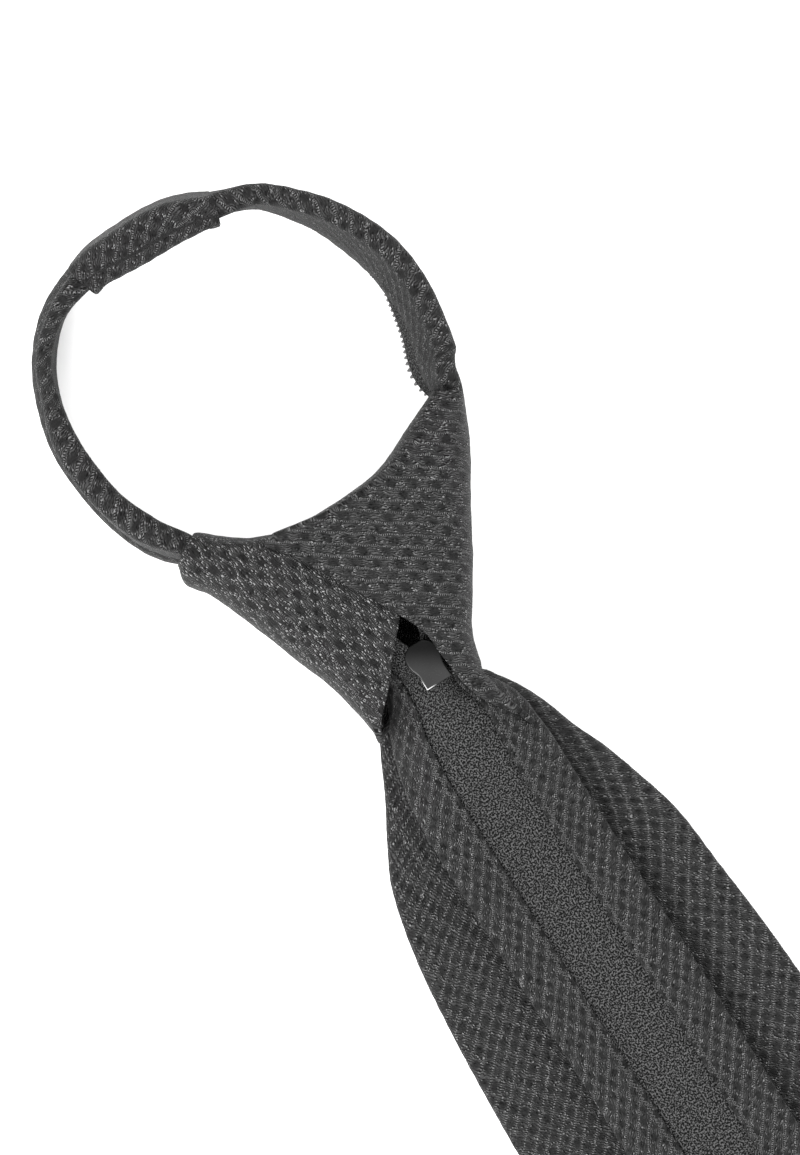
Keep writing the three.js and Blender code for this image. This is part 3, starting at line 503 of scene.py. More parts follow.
RIGHT_KNOT_ROWS = [
    # across, up, level, lean, curl, gather, middle
    [0.024, -0.440, 0.715, 0, -74, 0.96, 0],
    [0.030, -0.317, 0.760, 0, -106, 0.65, 0],
    [0.047, -0.200, 0.770, 0, -110, 0.74, 0],
    [0.080, -0.108, 0.745, 0, -100, 0.70, 0],
    [0.095, 0.025, 0.620, 6, -60, 0.70, 0],
    [0.125, 0.175, 0.460, 18, -10, 0.72, 0],
    [0.225, 0.325, 0.330, 44, 0, 0.80, 0.3],
    [0.360, 0.420, 0.290, 70, 0, 0.80, 0.7],
    [0.525, 0.552, 0.172, 74, 0, 0.92, 1],
]
LEFT_KNOT_ROWS = [
    # across, up, level, lean, curl, gather, middle
    [0.024, -0.440, 0.715, 0, -64, 0.96, 0],
    [0.036, -0.317, 0.760, 0, -80, 0.85, 0],
    [0.047, -0.200, 0.770, 0, -88, 0.80, 0],
    [0.012, -0.108, 0.745, 0, -80, 0.76, 0],
    [-0.005, 0.025, 0.620, 6, -50, 0.76, 0],
    [-0.040, 0.175, 0.460, 18, -10, 0.76, 0],
    [-0.120, 0.325, 0.330, 44, 0, 0.82, 0.3],
    [-0.262, 0.430, 0.310, 74, 0, 0.78, 0.7],
    [-0.366, 0.577, 0.182, 96, 0, 0.85, 1],
]
RIGHT_LOOP_ROWS = [
    # across, up, level, lean, curl, gather, middle
    [0.479, 0.108, 0.02, 59, 0, 1, 1],
    [0.508, 0.242, 0, 61.5, 0, 1, 1],
    [0.524, 0.375, 0, 64.5, 0, 1, 1],
    [0.523, 0.511, 0, 72, 0, 1, 1],
    [0.487, 0.644, 0, 76, 0, 1, 1],
    [0.426, 0.778, 0.02, 82, 0, 1, 1],
    [0.311, 0.908, 0.05, 90.5, 0, 1, 1],
    [0.183, 0.971, 0.085, 101, 0, 1, 1],
    [0.075, 1.011, 0.10, 101, 0, 1, 1],
    [0.012, 1.019, 0.10, 101, 0, 1, 1],
]
LEFT_LOOP_ROWS = [
    # across, up, level, lean, curl, gather, middle
    [-0.401, 0.139, 0.02, 95, 0, 0.98, 1],
    [-0.4455, 0.277, 0, 93.5, 0, 1, 1],
    [-0.4635, 0.413, 0, 93, 0, 1, 1],
    [-0.465, 0.545, 0, 93.5, 0, 1, 1],
    [-0.441, 0.677, 0, 93.5, 0, 1, 1],
    [-0.3965, 0.809, 0.02, 91.5, 0, 1, 1],
    [-0.301, 0.928, 0.05, 95.5, 0, 1, 1],
    [-0.181, 0.987, 0.085, 99, 0, 1, 1],
    [-0.070, 1.015, 0.10, 101, 0, 1, 1],
    [0.004, 1.019, 0.10, 101, 0, 1, 1],
]
PUFF_ROWS = [
    # rows past the horn, right, left: rounding of the bands as shares of BAND_WIDTH
    [-1, 0.000, 0.000],
    [0, 0.030, 0.045],
    [1, 0.050, 0.080],
    [2, 0.050, 0.066],
    [3, 0.050, 0.070],
    [4, 0.050, 0.060],
    [5, 0.050, 0.015],
    [6, 0.040, 0.000],
    [7, 0.032, 0.000],
    [8, 0.065, 0.050],
    [10, 0.065, 0.050],
]
TAIL_END_ROWS = [
    # along, half width as a share of BAND_WIDTH, thickness as a share of the open end's
    [0.00, 1.00, 1.00],
    [0.35, 1.00, 1.00],
    [0.55, 0.99, 0.80],
    [0.75, 0.90, 0.55],
    [0.90, 0.55, 0.42],
    [1.00, 0.20, 0.40],
]
SLIDER_OUTLINE = [
    # share of length from the nose, half width as a share of SLIDER_WIDTH / 2
    [0.00, 0.42],
    [0.10, 0.80],
    [0.30, 1.00],
    [0.45, 0.98],
    [0.62, 0.83],
    [1.00, 0.78],
]

# Rows of the tables that other places are counted from
SLIDER_ROW = 2
SLIDER_KEY = len(TAIL_ROWS) + SLIDER_ROW
OPEN_KEY = len(TAIL_ROWS) + 5
HORN_KEY = len(TAIL_ROWS) + len(RIGHT_KNOT_ROWS) - 1
LOOP_BARE_KEY = HORN_KEY + 4
LEFT_HEM_KEY = HORN_KEY - 3

SHIFT = row_shift()


# Materials


class Nodes:
    """Short names for making and joining a material's nodes."""

    def __init__(self, name):
        self.material = bpy.data.materials.new(name)
        self.material.use_nodes = True
        self.tree = self.material.node_tree
        self.shader = self.tree.nodes["Principled BSDF"]

    def add(self, kind, inputs=None, **settings):
        node = self.tree.nodes.new(kind)
        for key, value in settings.items():
            setattr(node, key, value)
        for key, value in (inputs or {}).items():
            self.put(node.inputs[key], value)
        return node

    def put(self, socket, value):
        if isinstance(value, bpy.types.NodeSocket):
            self.tree.links.new(value, socket)
        else:
            socket.default_value = value

    def maths(self, operation, *values):
        node = self.add("ShaderNodeMath", operation=operation)
        for socket, value in zip(node.inputs, values):
            self.put(socket, value)
        return node.outputs[0]

    def times(self, first, *others):
        for other in others:
            first = self.maths("MULTIPLY", first, other)
        return first

    def scaled(self, value, factor, offset):
        """value times factor plus offset."""
        return self.maths("MULTIPLY_ADD", value, factor, offset)

    def without(self, value):
        """What a share leaves of 1."""
        return self.maths("SUBTRACT", 1.0, value)

    def vector(self, operation, value, other):
        key = "Scale" if operation == "SCALE" else 1
        return self.add("ShaderNodeVectorMath", {0: value, key: other}, operation=operation).outputs[0]

    def joined(self, first, second):
        return self.add("ShaderNodeCombineXYZ", {0: first, 1: second}).outputs[0]

    def parts(self, vector):
        return self.add("ShaderNodeSeparateXYZ", {0: vector}).outputs

    def coordinates(self, kind):
        return self.add("ShaderNodeTexCoord").outputs[kind]

    def cloth_places(self):
        return self.add("ShaderNodeUVMap", uv_map="cloth").outputs["UV"]

    def step(self, value, low, high):
        """Smooth change from 0 to 1 as value goes from low to high."""
        node = self.add("ShaderNodeMapRange", interpolation_type="SMOOTHSTEP")
        self.put(node.inputs["Value"], value)
        node.inputs["From Min"].default_value = low
        node.inputs["From Max"].default_value = high
        return node.outputs[0]

    def mixed(self, share, first, second):
        node = self.add("ShaderNodeMix", data_type="RGBA")
        self.put(node.inputs["Factor"], share)
        self.put(node.inputs[6], first)
        self.put(node.inputs[7], second)
        return node.outputs[2]

    def noise(self, vector, scale, detail=2.0, roughness=0.5):
        inputs = {"Vector": vector, "Scale": scale, "Detail": detail, "Roughness": roughness}
        return self.add("ShaderNodeTexNoise", inputs).outputs["Fac"]

    def spread(self, vector):
        """Distance from the nearest of many points strewn one to a unit."""
        return self.add("ShaderNodeTexVoronoi", {"Vector": vector, "Scale": 1.0}).outputs["Distance"]

    def bump(self, height, strength, distance):
        inputs = {"Height": height, "Strength": strength, "Distance": distance}
        return self.add("ShaderNodeBump", inputs).outputs[0]

    def surface(self, inputs):
        """The finished material, with the shader's inputs set or joined."""
        for key, value in inputs.items():
            self.put(self.shader.inputs[key], value)
        return self.material


def grey(value):
    return (value, value, value, 1.0)


MATT_FABRIC = {"Specular IOR Level": 0.05, "Sheen Weight": 0.01, "Sheen Roughness": 0.5}

# Cloth: the two greys of its ground, then how far each layer covers what lies under it and the
# layer's grey, from the lowest layer to the highest
CLOTH_BASE = (0.014, 0.029)
CLOTH_LAYERS = {
    "patches": (0.40, 0.012),
    "tile": (0.45, 0.036),
    "gaps": (0.85, 0.002),
    "floats": (1.00, 0.050),
    "spot": (0.85, 0.0058),
    "line": (0.75, 0.002),
    "pit": (0.95, 0.0008),
    "dotted": (0.80, 0.11),
}
FLECK_COVER = 0.95

# Cloth: where each mask begins and where it is whole
CLOTH_STEPS = {
    "grain": (0.3, 0.7),
    "patches": (0.35, 0.7),
    "strength": (0.36, 0.58),
    "spot": (0.48, 0.74),
    "tile": (0.14, 0.46),
    "breaks": (0.42, 0.58),
    "floats": (0.0, 0.9),
    "gaps": (-0.1, -0.9),
    "fleck": (0.14, 0.34),
    "pit": (0.20, 0.46),
    "near_flecks": (-0.6, 0.6),
    "line": (0.84, 0.99),
    "line_wear": (0.28, 0.50),
    "dots": (-0.1, 0.9),
}

# Cloth: scale, detail and roughness of each noise
CLOTH_NOISES = {
    "strength": (0.9, 2.0, 0.6),
    "jitter": (2.4, 2.0, 0.6),
    "breaks": (0.9, 1.0, 0.5),
    "crowd": (1.9, 2.0, 0.6),
    "line_wear": (0.8, 2.0, 0.6),
    "grain": (16.0, 2.0, 0.6),
    "patches": (0.35, 2.0, 0.5),
}

# Cloth: drift of its lattice, run of its threads, places of flecks and pits, and what it does to light
DRIFT_SCALE = 1.4
DRIFT = 0.38
LEAST_STRENGTH = 0.25
JITTER = 2.4
FLOAT_LENGTH = 0.34
FLOAT_GAIN = 0.35
FLOAT_LEAST = 0.55
FLECK_SCALE = (1.15, 0.52)
FLECK_BLEND = 0.16
PIT_OFFSET = (0.45, 0.2, 0.0)
CLOTH_BUMP = {"fleck": 0.9, "floats": 0.35, "grain": 0.5, "line": -0.5, "pit": -0.6}
CLOTH_BUMP_STRENGTH = 0.8
CLOTH_RELIEF = 0.0002
CLOTH_ROUGHNESS = 0.62
SPOT_SHINE = 0.12


def cloth_material(name, strands, lines, bare=0.40, light=0.17):
    """Woven cloth: smooth dark spots on a lattice, thread floats, dotted lines and light flecks.

    strands and lines are counts of floats and of dotted lines along the two sides of a cell.
    The share of the cloth without flecks grows with bare, and light is how light the flecks are.
    """
    n = Nodes(name)
    place = n.cloth_places()
    drift = n.add("ShaderNodeTexNoise", {"Vector": place, "Scale": DRIFT_SCALE, "Detail": 2.0})
    drift = n.vector("SUBTRACT", drift.outputs["Color"], (0.5, 0.5, 0.5))
    cloth = n.vector("ADD", place, n.vector("SCALE", drift, DRIFT))
    parts = n.parts(cloth)

    def along(first, second):
        return n.maths("ADD", n.times(parts[0], first), n.times(parts[1], second))

    def wave(value, shape="COSINE"):
        return n.maths(shape, n.times(value, 2 * PI))

    def step(key, value):
        return n.step(value, *CLOTH_STEPS[key])

    def noise(key, vector=place):
        return n.noise(vector, *CLOTH_NOISES[key])

    # Dark spots, uneven in strength
    spot_shape = n.scaled(n.maths("ADD", wave(parts[0]), wave(parts[1])), 0.25, 0.5)
    strength = n.scaled(step("strength", noise("strength")), 1 - LEAST_STRENGTH, LEAST_STRENGTH)
    spot = n.times(step("spot", spot_shape), strength)
    tile = n.without(step("tile", spot_shape))
    off_spot = n.without(spot)
    # Floats: short parallel strands, broken where they dip under a crossing thread
    across = along(*strands)
    length = along(-strands[1], strands[0])
    float_wave = wave(n.maths("ADD", across, n.times(noise("jitter"), JITTER)), "SINE")
    breaks = step("breaks", noise("breaks", n.joined(across, n.times(length, FLOAT_LENGTH))))
    floats = n.times(step("floats", float_wave), breaks, off_spot, n.scaled(tile, FLOAT_GAIN, FLOAT_LEAST))
    gaps = n.times(step("gaps", float_wave), off_spot)
    # Flecks: small light thread ends crowded in patches between the spots
    fleck_at = n.joined(n.times(across, FLECK_SCALE[0]), n.times(length, FLECK_SCALE[1]))
    crowd = n.step(noise("crowd"), bare, bare + FLECK_BLEND)
    fleck = n.times(n.without(step("fleck", n.spread(fleck_at))), crowd, off_spot)
    # Pits: black gaps beside the flecks
    pit_far = n.spread(n.vector("ADD", fleck_at, PIT_OFFSET))
    pit = n.times(n.without(step("pit", pit_far)), step("near_flecks", crowd))
    # Dotted lines between the rows of spots
    line = step("line", n.times(wave(along(*lines)), -1.0))
    line = n.times(line, step("line_wear", noise("line_wear")))
    dots = step("dots", wave(n.times(along(-lines[1], lines[0]), DOTS_IN_CELL), "SINE"))
    grain = noise("grain", cloth)

    masks = {
        "patches": step("patches", noise("patches")),
        "tile": tile,
        "gaps": gaps,
        "floats": floats,
        "spot": spot,
        "line": line,
        "pit": pit,
        "dotted": n.times(line, dots),
    }
    base = n.mixed(step("grain", grain), *(grey(value) for value in CLOTH_BASE))
    for key, (cover, tone) in CLOTH_LAYERS.items():
        base = n.mixed(n.times(masks[key], cover), base, grey(tone))
    base = n.mixed(n.times(fleck, FLECK_COVER), base, grey(light))
    heights = {"floats": float_wave, "grain": grain, "line": line, "pit": pit}
    height = n.times(fleck, CLOTH_BUMP["fleck"])
    for key, value in heights.items():
        height = n.scaled(value, CLOTH_BUMP[key], height)
    normal = n.bump(height, CLOTH_BUMP_STRENGTH, CLOTH_RELIEF)
    rough = n.scaled(spot, -SPOT_SHINE, CLOTH_ROUGHNESS)
    return n.surface({"Base Color": base, "Normal": normal, "Roughness": rough, **MATT_FABRIC})


# Tape, nylon, enamel and floor: greys, scales of noises, and steps from nothing to whole
TAPE_GREYS = (0.001, 0.057)
TAPE_LOOPS = (1.15, 0.95, 1.0)
TAPE_LOOP_NOISE = (2.5, 1.0)
TAPE_LOOP_STEP = (0.44, 0.64)
TAPE_PATCHES = 0.5
TAPE_BUMP = (0.9, 0.0003)
NYLON_GREYS = (0.012, 0.04)
NYLON_GRAIN = 900.0
NYLON_BUMP = (0.3, 0.0001)
ENAMEL_GREYS = (0.010, 0.016)
ENAMEL_WAVES = 260.0
ENAMEL_SPECKS = 2400.0
ENAMEL_BUMP = (0.12, 0.0002)
# Painted shade: the enamel turns near black and loses shine towards the slider's nose, where the wing
# above shades it
PAINTED_SHADE_GREY = 0.002
PAINTED_SHADE_SLANT = 0.45
PAINTED_SHADE_STEP = (0.45, 1.15)
BEVEL_FROM = (0.1, 0.3)
BEVEL_TO = (0.8, 0.95)
# Painted highlight: light grey on the slider's bevel near one rear corner, standing in for a glint of the
# light
PAINTED_HIGHLIGHT_GREY = 0.45
PAINTED_HIGHLIGHT_SLANT = 0.9
PAINTED_HIGHLIGHT_STEP = (0.20, 0.42)
FLOOR_TONES = 3.0
FLOOR_GREYS = (0.96, 0.98)


def tape_material(name):
    """Knitted zip tape: a fine, even, high-contrast grain."""
    n = Nodes(name)
    place = n.cloth_places()
    stretched = n.add("ShaderNodeMapping", {"Vector": place, "Scale": TAPE_LOOPS}).outputs[0]
    loops = n.noise(stretched, *TAPE_LOOP_NOISE)
    coarse = n.noise(place, TAPE_PATCHES)
    light = n.times(n.step(loops, *TAPE_LOOP_STEP), n.scaled(coarse, 1.0, 0.5))
    colour = n.mixed(light, *(grey(value) for value in TAPE_GREYS))
    normal = n.bump(loops, *TAPE_BUMP)
    rough = n.scaled(coarse, 0.2, 0.6)
    return n.surface({"Base Color": colour, "Normal": normal, "Roughness": rough, **MATT_FABRIC})


def nylon_material(name):
    """Smooth dark nylon of the coils and of the thread in the hems."""
    n = Nodes(name)
    grain = n.noise(n.coordinates("Object"), NYLON_GRAIN)
    colour = n.mixed(grain, *(grey(value) for value in NYLON_GREYS))
    normal = n.bump(grain, *NYLON_BUMP)
    return n.surface({"Base Color": colour, "Normal": normal, "Roughness": n.scaled(grain, 0.2, 0.3)})


def enamel_material(name):
    """Glossy black enamel, with painted shade that darkens it and lowers its shine towards the nose, and a
    painted highlight on the bevel at one rear corner.
    """
    n = Nodes(name)
    place = n.coordinates("Object")
    along = n.parts(n.coordinates("Generated"))
    # Painted shade towards the nose: clear is 1 outside it, and the colour and specular level drop where
    # it falls to 0
    towards_nose = n.scaled(along[0], PAINTED_SHADE_SLANT, along[1])
    clear = n.without(n.step(towards_nose, *PAINTED_SHADE_STEP))
    waves = n.noise(place, ENAMEL_WAVES)
    specks = n.noise(place, ENAMEL_SPECKS)
    coat = n.mixed(waves, *(grey(value) for value in ENAMEL_GREYS))
    coat = n.mixed(clear, grey(PAINTED_SHADE_GREY), coat)
    # Painted highlight on the bevel's faces near one rear corner
    upward = n.parts(n.add("ShaderNodeNewGeometry").outputs["Normal"])[2]
    bevel = n.times(n.step(upward, *BEVEL_FROM), n.without(n.step(upward, *BEVEL_TO)))
    from_corner = n.scaled(along[0], PAINTED_HIGHLIGHT_SLANT, along[1])
    painted_highlight = n.times(bevel, n.without(n.step(from_corner, *PAINTED_HIGHLIGHT_STEP)))
    return n.surface({
        "Base Color": n.mixed(painted_highlight, coat, grey(PAINTED_HIGHLIGHT_GREY)),
        "Normal": n.bump(waves, *ENAMEL_BUMP),
        "Roughness": n.scaled(specks, 0.12, 0.20),
        "Specular IOR Level": n.scaled(clear, 0.12, 0.05),
        "Coat Weight": 0.04,
        "Coat Roughness": 0.08,
    })


BLADE_CLOTH = cloth_material("blade_cloth", (0, 6), (1, 0))
RIGHT_WING_CLOTH = cloth_material("right_wing_cloth", (5, 5), (1, 1))
# The left wing's flecks are lighter and more crowded than the other pieces', a painted highlight that
# lightens the whole wing
LEFT_WING_CLOTH_WITH_PAINTED_HIGHLIGHT = cloth_material("left_wing_cloth_painted_highlight", (5, -5), (1, -1), bare=0.28, light=0.26)
RIGHT_BAND_CLOTH = cloth_material("right_band_cloth", (6, 0), (1, 0))
LEFT_BAND_CLOTH = cloth_material("left_band_cloth", (0, 6), (0, 1))
TAPE = tape_material("tape")
NYLON = nylon_material("nylon")
ENAMEL = enamel_material("enamel")
THREAD = nylon_material("thread")


# Blade


def blade_half(half, lift, arch, hem):
    """Right half of one section: (x, z, distance along the cloth from the bottom's middle)."""
    radius = min((BLADE_HEIGHT - BLADE_WALL) / 2, half / 2)
    reach = half - BLADE_WALL / 2 - radius
    inner = max(BLADE_SEAM_GAP / 2, half - hem)
    bottom = np.linspace(0, reach, BOTTOM_POINTS)
    angle = np.linspace(-PI / 2, PI / 2, FOLD_POINTS + 2)[1:-1]
    flap = np.linspace(reach, inner, FLAP_POINTS)
    x = np.concatenate([bottom, reach + radius * np.cos(angle), flap])
    z = np.concatenate([bottom * 0, radius + radius * np.sin(angle), flap * 0 + 2 * radius])
    cloth = np.concatenate([bottom, reach + radius * (angle + PI / 2), reach + PI * radius + reach - flap])
    return x, z + lift + BLADE_WALL / 2 + arch * (1 - (x / half) ** 2), cloth


def make_blade():
    tip_start = BLADE_LENGTH - TIP_LENGTH
    track = smooth_table([row[0] * tip_start for row in BLADE_ROWS], BLADE_ROWS)
    first = BLADE_ROWS[0][0] * tip_start
    fine = even(first, -VISIBLE_FROM, FINE_STEP)
    coarse = even(-VISIBLE_FROM, tip_start, COARSE_STEP)[1:]
    halves = []
    ys = []
    middles = []
    for down in np.concatenate([fine, coarse]):
        _, half, lift, arch, middle = track(down)
        width = half * BLADE_WIDTH
        halves.append(blade_half(width, lift * KNOT_DEPTH, arch * KNOT_DEPTH, width))
        ys.append(-down)
        middles.append(middle * BLADE_WIDTH)
    for share in np.linspace(0, 1, TIP_ROWS)[1:]:
        half = BLADE_WIDTH / 2 + (BLADE_POINT_HALF - BLADE_WIDTH / 2) * share
        hem = BLADE_WIDTH / 2 + (BLADE_HEM - BLADE_WIDTH / 2) * min(1, share * TIP_HEM_RATE)
        halves.append(blade_half(half, 0, 0, hem))
        ys.append(-tip_start - (TIP_LENGTH - BLADE_POINT_HALF) * share)
        middles.append(0.0)
    x, z, cloth = (np.array([h[k] for h in halves]) for k in range(3))
    x, cloth = (np.concatenate([-a[:, :0:-1], a], axis=1) for a in (x, cloth))
    x = x + np.array(middles)[:, None]
    z = np.concatenate([z[:, :0:-1], z], axis=1)
    y = np.repeat(np.array(ys)[:, None], x.shape[1], axis=1)
    uv = cells(np.stack([cloth, y], axis=-1), *BLADE_CELL)
    grid = np.stack([x, y, z], axis=-1)
    piece = thick_sheet("blade_cloth", grid, BLADE_WALL, uv, BLADE_CLOTH, weave_height(uv))
    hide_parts("blade")


# Knot

BACK_TRACK = smooth_table([row[0] * KNOT_HEIGHT for row in BACK_ROWS], BACK_ROWS)


def back_height(y):
    return BACK_TRACK(y)[..., 1] * KNOT_DEPTH


def wing_section(row):
    """Points across one row of a wing, and the places on the flat cloth that they come from."""
    side_x, side_y, edge_x, edge_y, front, side, roll, turn, wrap, lap = row
    start = np.array([side_x * KNOT_WIDTH, side_y * KNOT_HEIGHT])
    edge = np.array([edge_x * KNOT_WIDTH, edge_y * KNOT_HEIGHT])
    length = np.linalg.norm(edge - start) - KNOT_WALL
    along = (edge - start) / np.linalg.norm(edge - start)
    side_radius = side * length
    roll_radius = roll * length
    low = front * KNOT_DEPTH + KNOT_WALL / 2
    cuff = float(smoothstep(BODY_FRONT - front, 0, BODY_FRONT))
    power = 1 - CUFF_FLATNESS * cuff

    def bulge(value):
        return np.sign(value) * np.abs(value) ** power

    k = np.arange(WING_DETAIL["turn"], 0, -1) / WING_DETAIL["turn"]
    angle = PI * turn * k
    flat = (1 - turn) * k
    reach = [length - roll_radius + roll_radius * (turn * bulge(np.sin(angle)) + flat)]
    share = [1 - turn * (1 - bulge(np.cos(angle)))]
    k = np.arange(WING_DETAIL["layer"] + 1) / WING_DETAIL["layer"]
    reach.append(length - roll_radius + (side_radius + roll_radius - length) * k)
    share.append(np.ones_like(k))
    k = np.arange(1, WING_DETAIL["side"] + 1) / WING_DETAIL["side"]
    angle = PI * wrap * k
    reach.append(side_radius - side_radius * bulge(np.sin(angle)))
    share.append(bulge(np.cos(angle)))
    tuck = min(WING_RETURN, length * TUCK_SHARE) * max(LEAST_TUCK, wrap * 2 - 1)
    last = side_radius - side_radius * math.sin(PI * wrap)
    k = np.arange(1, WING_DETAIL["tuck"] + 1) / WING_DETAIL["tuck"]
    reach.append(last + tuck * k)
    share.append(np.full_like(k, math.cos(PI * wrap)))
    reach = np.concatenate(reach)
    share = np.concatenate(share)
    place = start + (reach + KNOT_WALL / 2)[:, None] * along
    under = np.clip(reach / length * LAP_SLOPE - LAP_START, 0, 1)
    high = back_height(place[:, 1]) - KNOT_WALL / 2 - lap * LAP_STEP * under
    z = low + (high - low) * (0.5 + 0.5 * share)
    points = np.concatenate([place, z[:, None]], axis=1)
    lengths = arc_lengths(points[None])[0]
    first = WING_DETAIL["turn"]
    cloth = place[first] - (lengths - lengths[first])[:, None] * along
    return points, cloth


def make_wing(name, node, table, cell, material):
    track = smooth_table(np.arange(len(table)), table)
    keys = np.arange(0, len(table) - 1 + WING_ROW_STEP / 2, WING_ROW_STEP)
    sections = [wing_section(track(key)) for key in keys]
    grid = np.array([points for points, _ in sections])
    uv = cells(np.array([cloth for _, cloth in sections]), *cell)
    piece = thick_sheet(name, grid, KNOT_WALL, uv, material, weave_height(uv))
    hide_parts(node)


def make_front():
    middle = (len(FRONT_ROWS) - 1) / 2
    track = smooth_table(np.arange(len(FRONT_ROWS)), FRONT_ROWS)
    keys = even(0, len(FRONT_ROWS) - 1, FRONT_ROW_STEP)
    up, left, right = np.moveaxis(track(keys), -1, 0)
    share = np.linspace(-1, 1, FRONT_POINTS)[None]
    ends = FRONT_SHAPE["ends"] * ((keys - middle) / middle)[:, None] ** 2
    x = KNOT_WIDTH * (left[:, None] + (right - left)[:, None] * (share + 1) / 2)
    bend = FRONT_CROWN * (share**2 * (FRONT_SHAPE["sides"] - ends) + ends)
    y = np.repeat(up[:, None] * KNOT_HEIGHT, x.shape[1], axis=1)
    grid = np.stack([x, y, FRONT_WALL / 2 + bend * FRONT_SHAPE["shown"]], axis=-1)
    uv = cells(grid[..., :2], *BLADE_CELL)
    relief = weave_height(uv) * FRONT_RELIEF
    piece = thick_sheet("knot_front_cloth", grid, FRONT_WALL, uv, BLADE_CLOTH, relief)
    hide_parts("knot_front")


# Bands, tapes and coils


def band_path(side, knot_rows, loop_rows):
    rows = []
    for across, down, level, *rest in TAIL_ROWS:
        rows.append([across * KNOT_WIDTH, -down * TAIL_LENGTH, TAIL_LEVEL + level * KNOT_DEPTH, *rest])
    for across, up, level, *rest in knot_rows:
        rows.append([across * KNOT_WIDTH, up * KNOT_HEIGHT, level * KNOT_DEPTH, *rest])
    for across, up, level, *rest in loop_rows:
        z = LOOP_LEVEL + level * KNOT_DEPTH
        rows.append([across * LOOP_WIDTH, HORN_Y + up * LOOP_HEIGHT, z, *rest])
    rows = np.array(rows, float)
    steps = np.linalg.norm(np.diff(rows[:, :3], axis=0), axis=1)
    keys = np.concatenate([[0], np.cumsum(steps)])
    return {"side": side, "keys": keys, "track": smooth_table(keys, rows)}


def middle_offset(lean):
    """Middle of a leaning band seen from above, measured outward from its coil line."""
    fold = BAND_WIDTH * np.cos(lean)
    face = BAND_FACE * np.sin(lean)
    return (np.minimum(0, fold - face) + np.maximum(face, fold + face)) / 2


def band_frame(path, keys):
    rows = path["track"](keys)
    last = path["keys"][-1]
    before = path["track"](np.maximum(0, keys - TRAVEL_STEP))
    after = path["track"](np.minimum(last, keys + TRAVEL_STEP))
    travel = unit(after[:, :3] - before[:, :3])
    flat = unit(travel[:, :2])
    side = path["side"]
    outward = np.stack([side * flat[:, 1], -side * flat[:, 0], 0 * flat[:, 0]], axis=1)
    upward = np.cross(outward, travel) * side
    lean, curl = np.radians(rows[:, 3]), np.radians(rows[:, 4])
    origin = rows[:, :3] - outward * (rows[:, 6] * middle_offset(lean))[:, None]
    return {
        "origin": origin[:, None],
        "outward": outward[:, None],
        "upward": upward[:, None],
        "lean": lean[:, None],
        "curl": curl[:, None],
        "gather": rows[:, 5][:, None],
    }


def band_points(at, w, n):
    """Points at w across a band's width and n off its middle surface."""
    width = w * at["gather"]
    angle = at["lean"] + at["curl"] * w / BAND_WIDTH
    half_turn = (angle - at["lean"]) / 2
    safe = np.where(np.abs(half_turn) < 1e-6, 1.0, half_turn)
    chord = np.where(np.abs(half_turn) < 1e-6, width, width * np.sin(safe) / safe)
    h = chord * np.cos(at["lean"] + half_turn) - n * np.sin(angle)
    v = chord * np.sin(at["lean"] + half_turn) + n * np.cos(angle)
    return at["origin"] + at["outward"] * h[..., None] + at["upward"] * v[..., None]


def loop_share(path, keys):
    """0 in the tail and the knot, 1 in the neck loop."""
    return smoothstep(keys, path["keys"][HORN_KEY - 1], path["keys"][HORN_KEY + 1])


def front_edge(path, keys):
    """Where the front layer of the cloth ends: clear of the slider in the tail and the knot."""
    share = smoothstep(keys, path["keys"][HORN_KEY], path["keys"][HORN_KEY + 2])
    return TAIL_FRONT_EDGE + (LOOP_FRONT_EDGE - TAIL_FRONT_EDGE) * share


def band_keys(path, fine):
    """Keys that are close together where the camera sees the band."""
    start = TAIL_LENGTH + VISIBLE_FROM
    return np.concatenate([even(0, start, COARSE_STEP)[:-1], even(start, path["keys"][-1], fine)])


def top_edge(path, keys):
    """Where the cloth of the back layer ends: it leaves the tape bare in the tail, not in the loop."""
    at = path["keys"]
    if path["side"] > 0:
        bare_from = at[HORN_KEY + 2] + BARE_PAST_ROW
        share = smoothstep(keys, bare_from, at[LOOP_BARE_KEY] + BARE_PAST_ROW)
        beside_slider = 0.0
    else:
        share = smoothstep(keys, at[HORN_KEY - 2], at[HORN_KEY])
        beside_slider = SLIDER_HEM * np.exp(-(((keys - at[SLIDER_KEY]) / SLIDER_LENGTH * 2) ** 2))
    return TAPE_SHOWING + beside_slider + (LOOP_TOP_EDGE - TAPE_SHOWING) * share


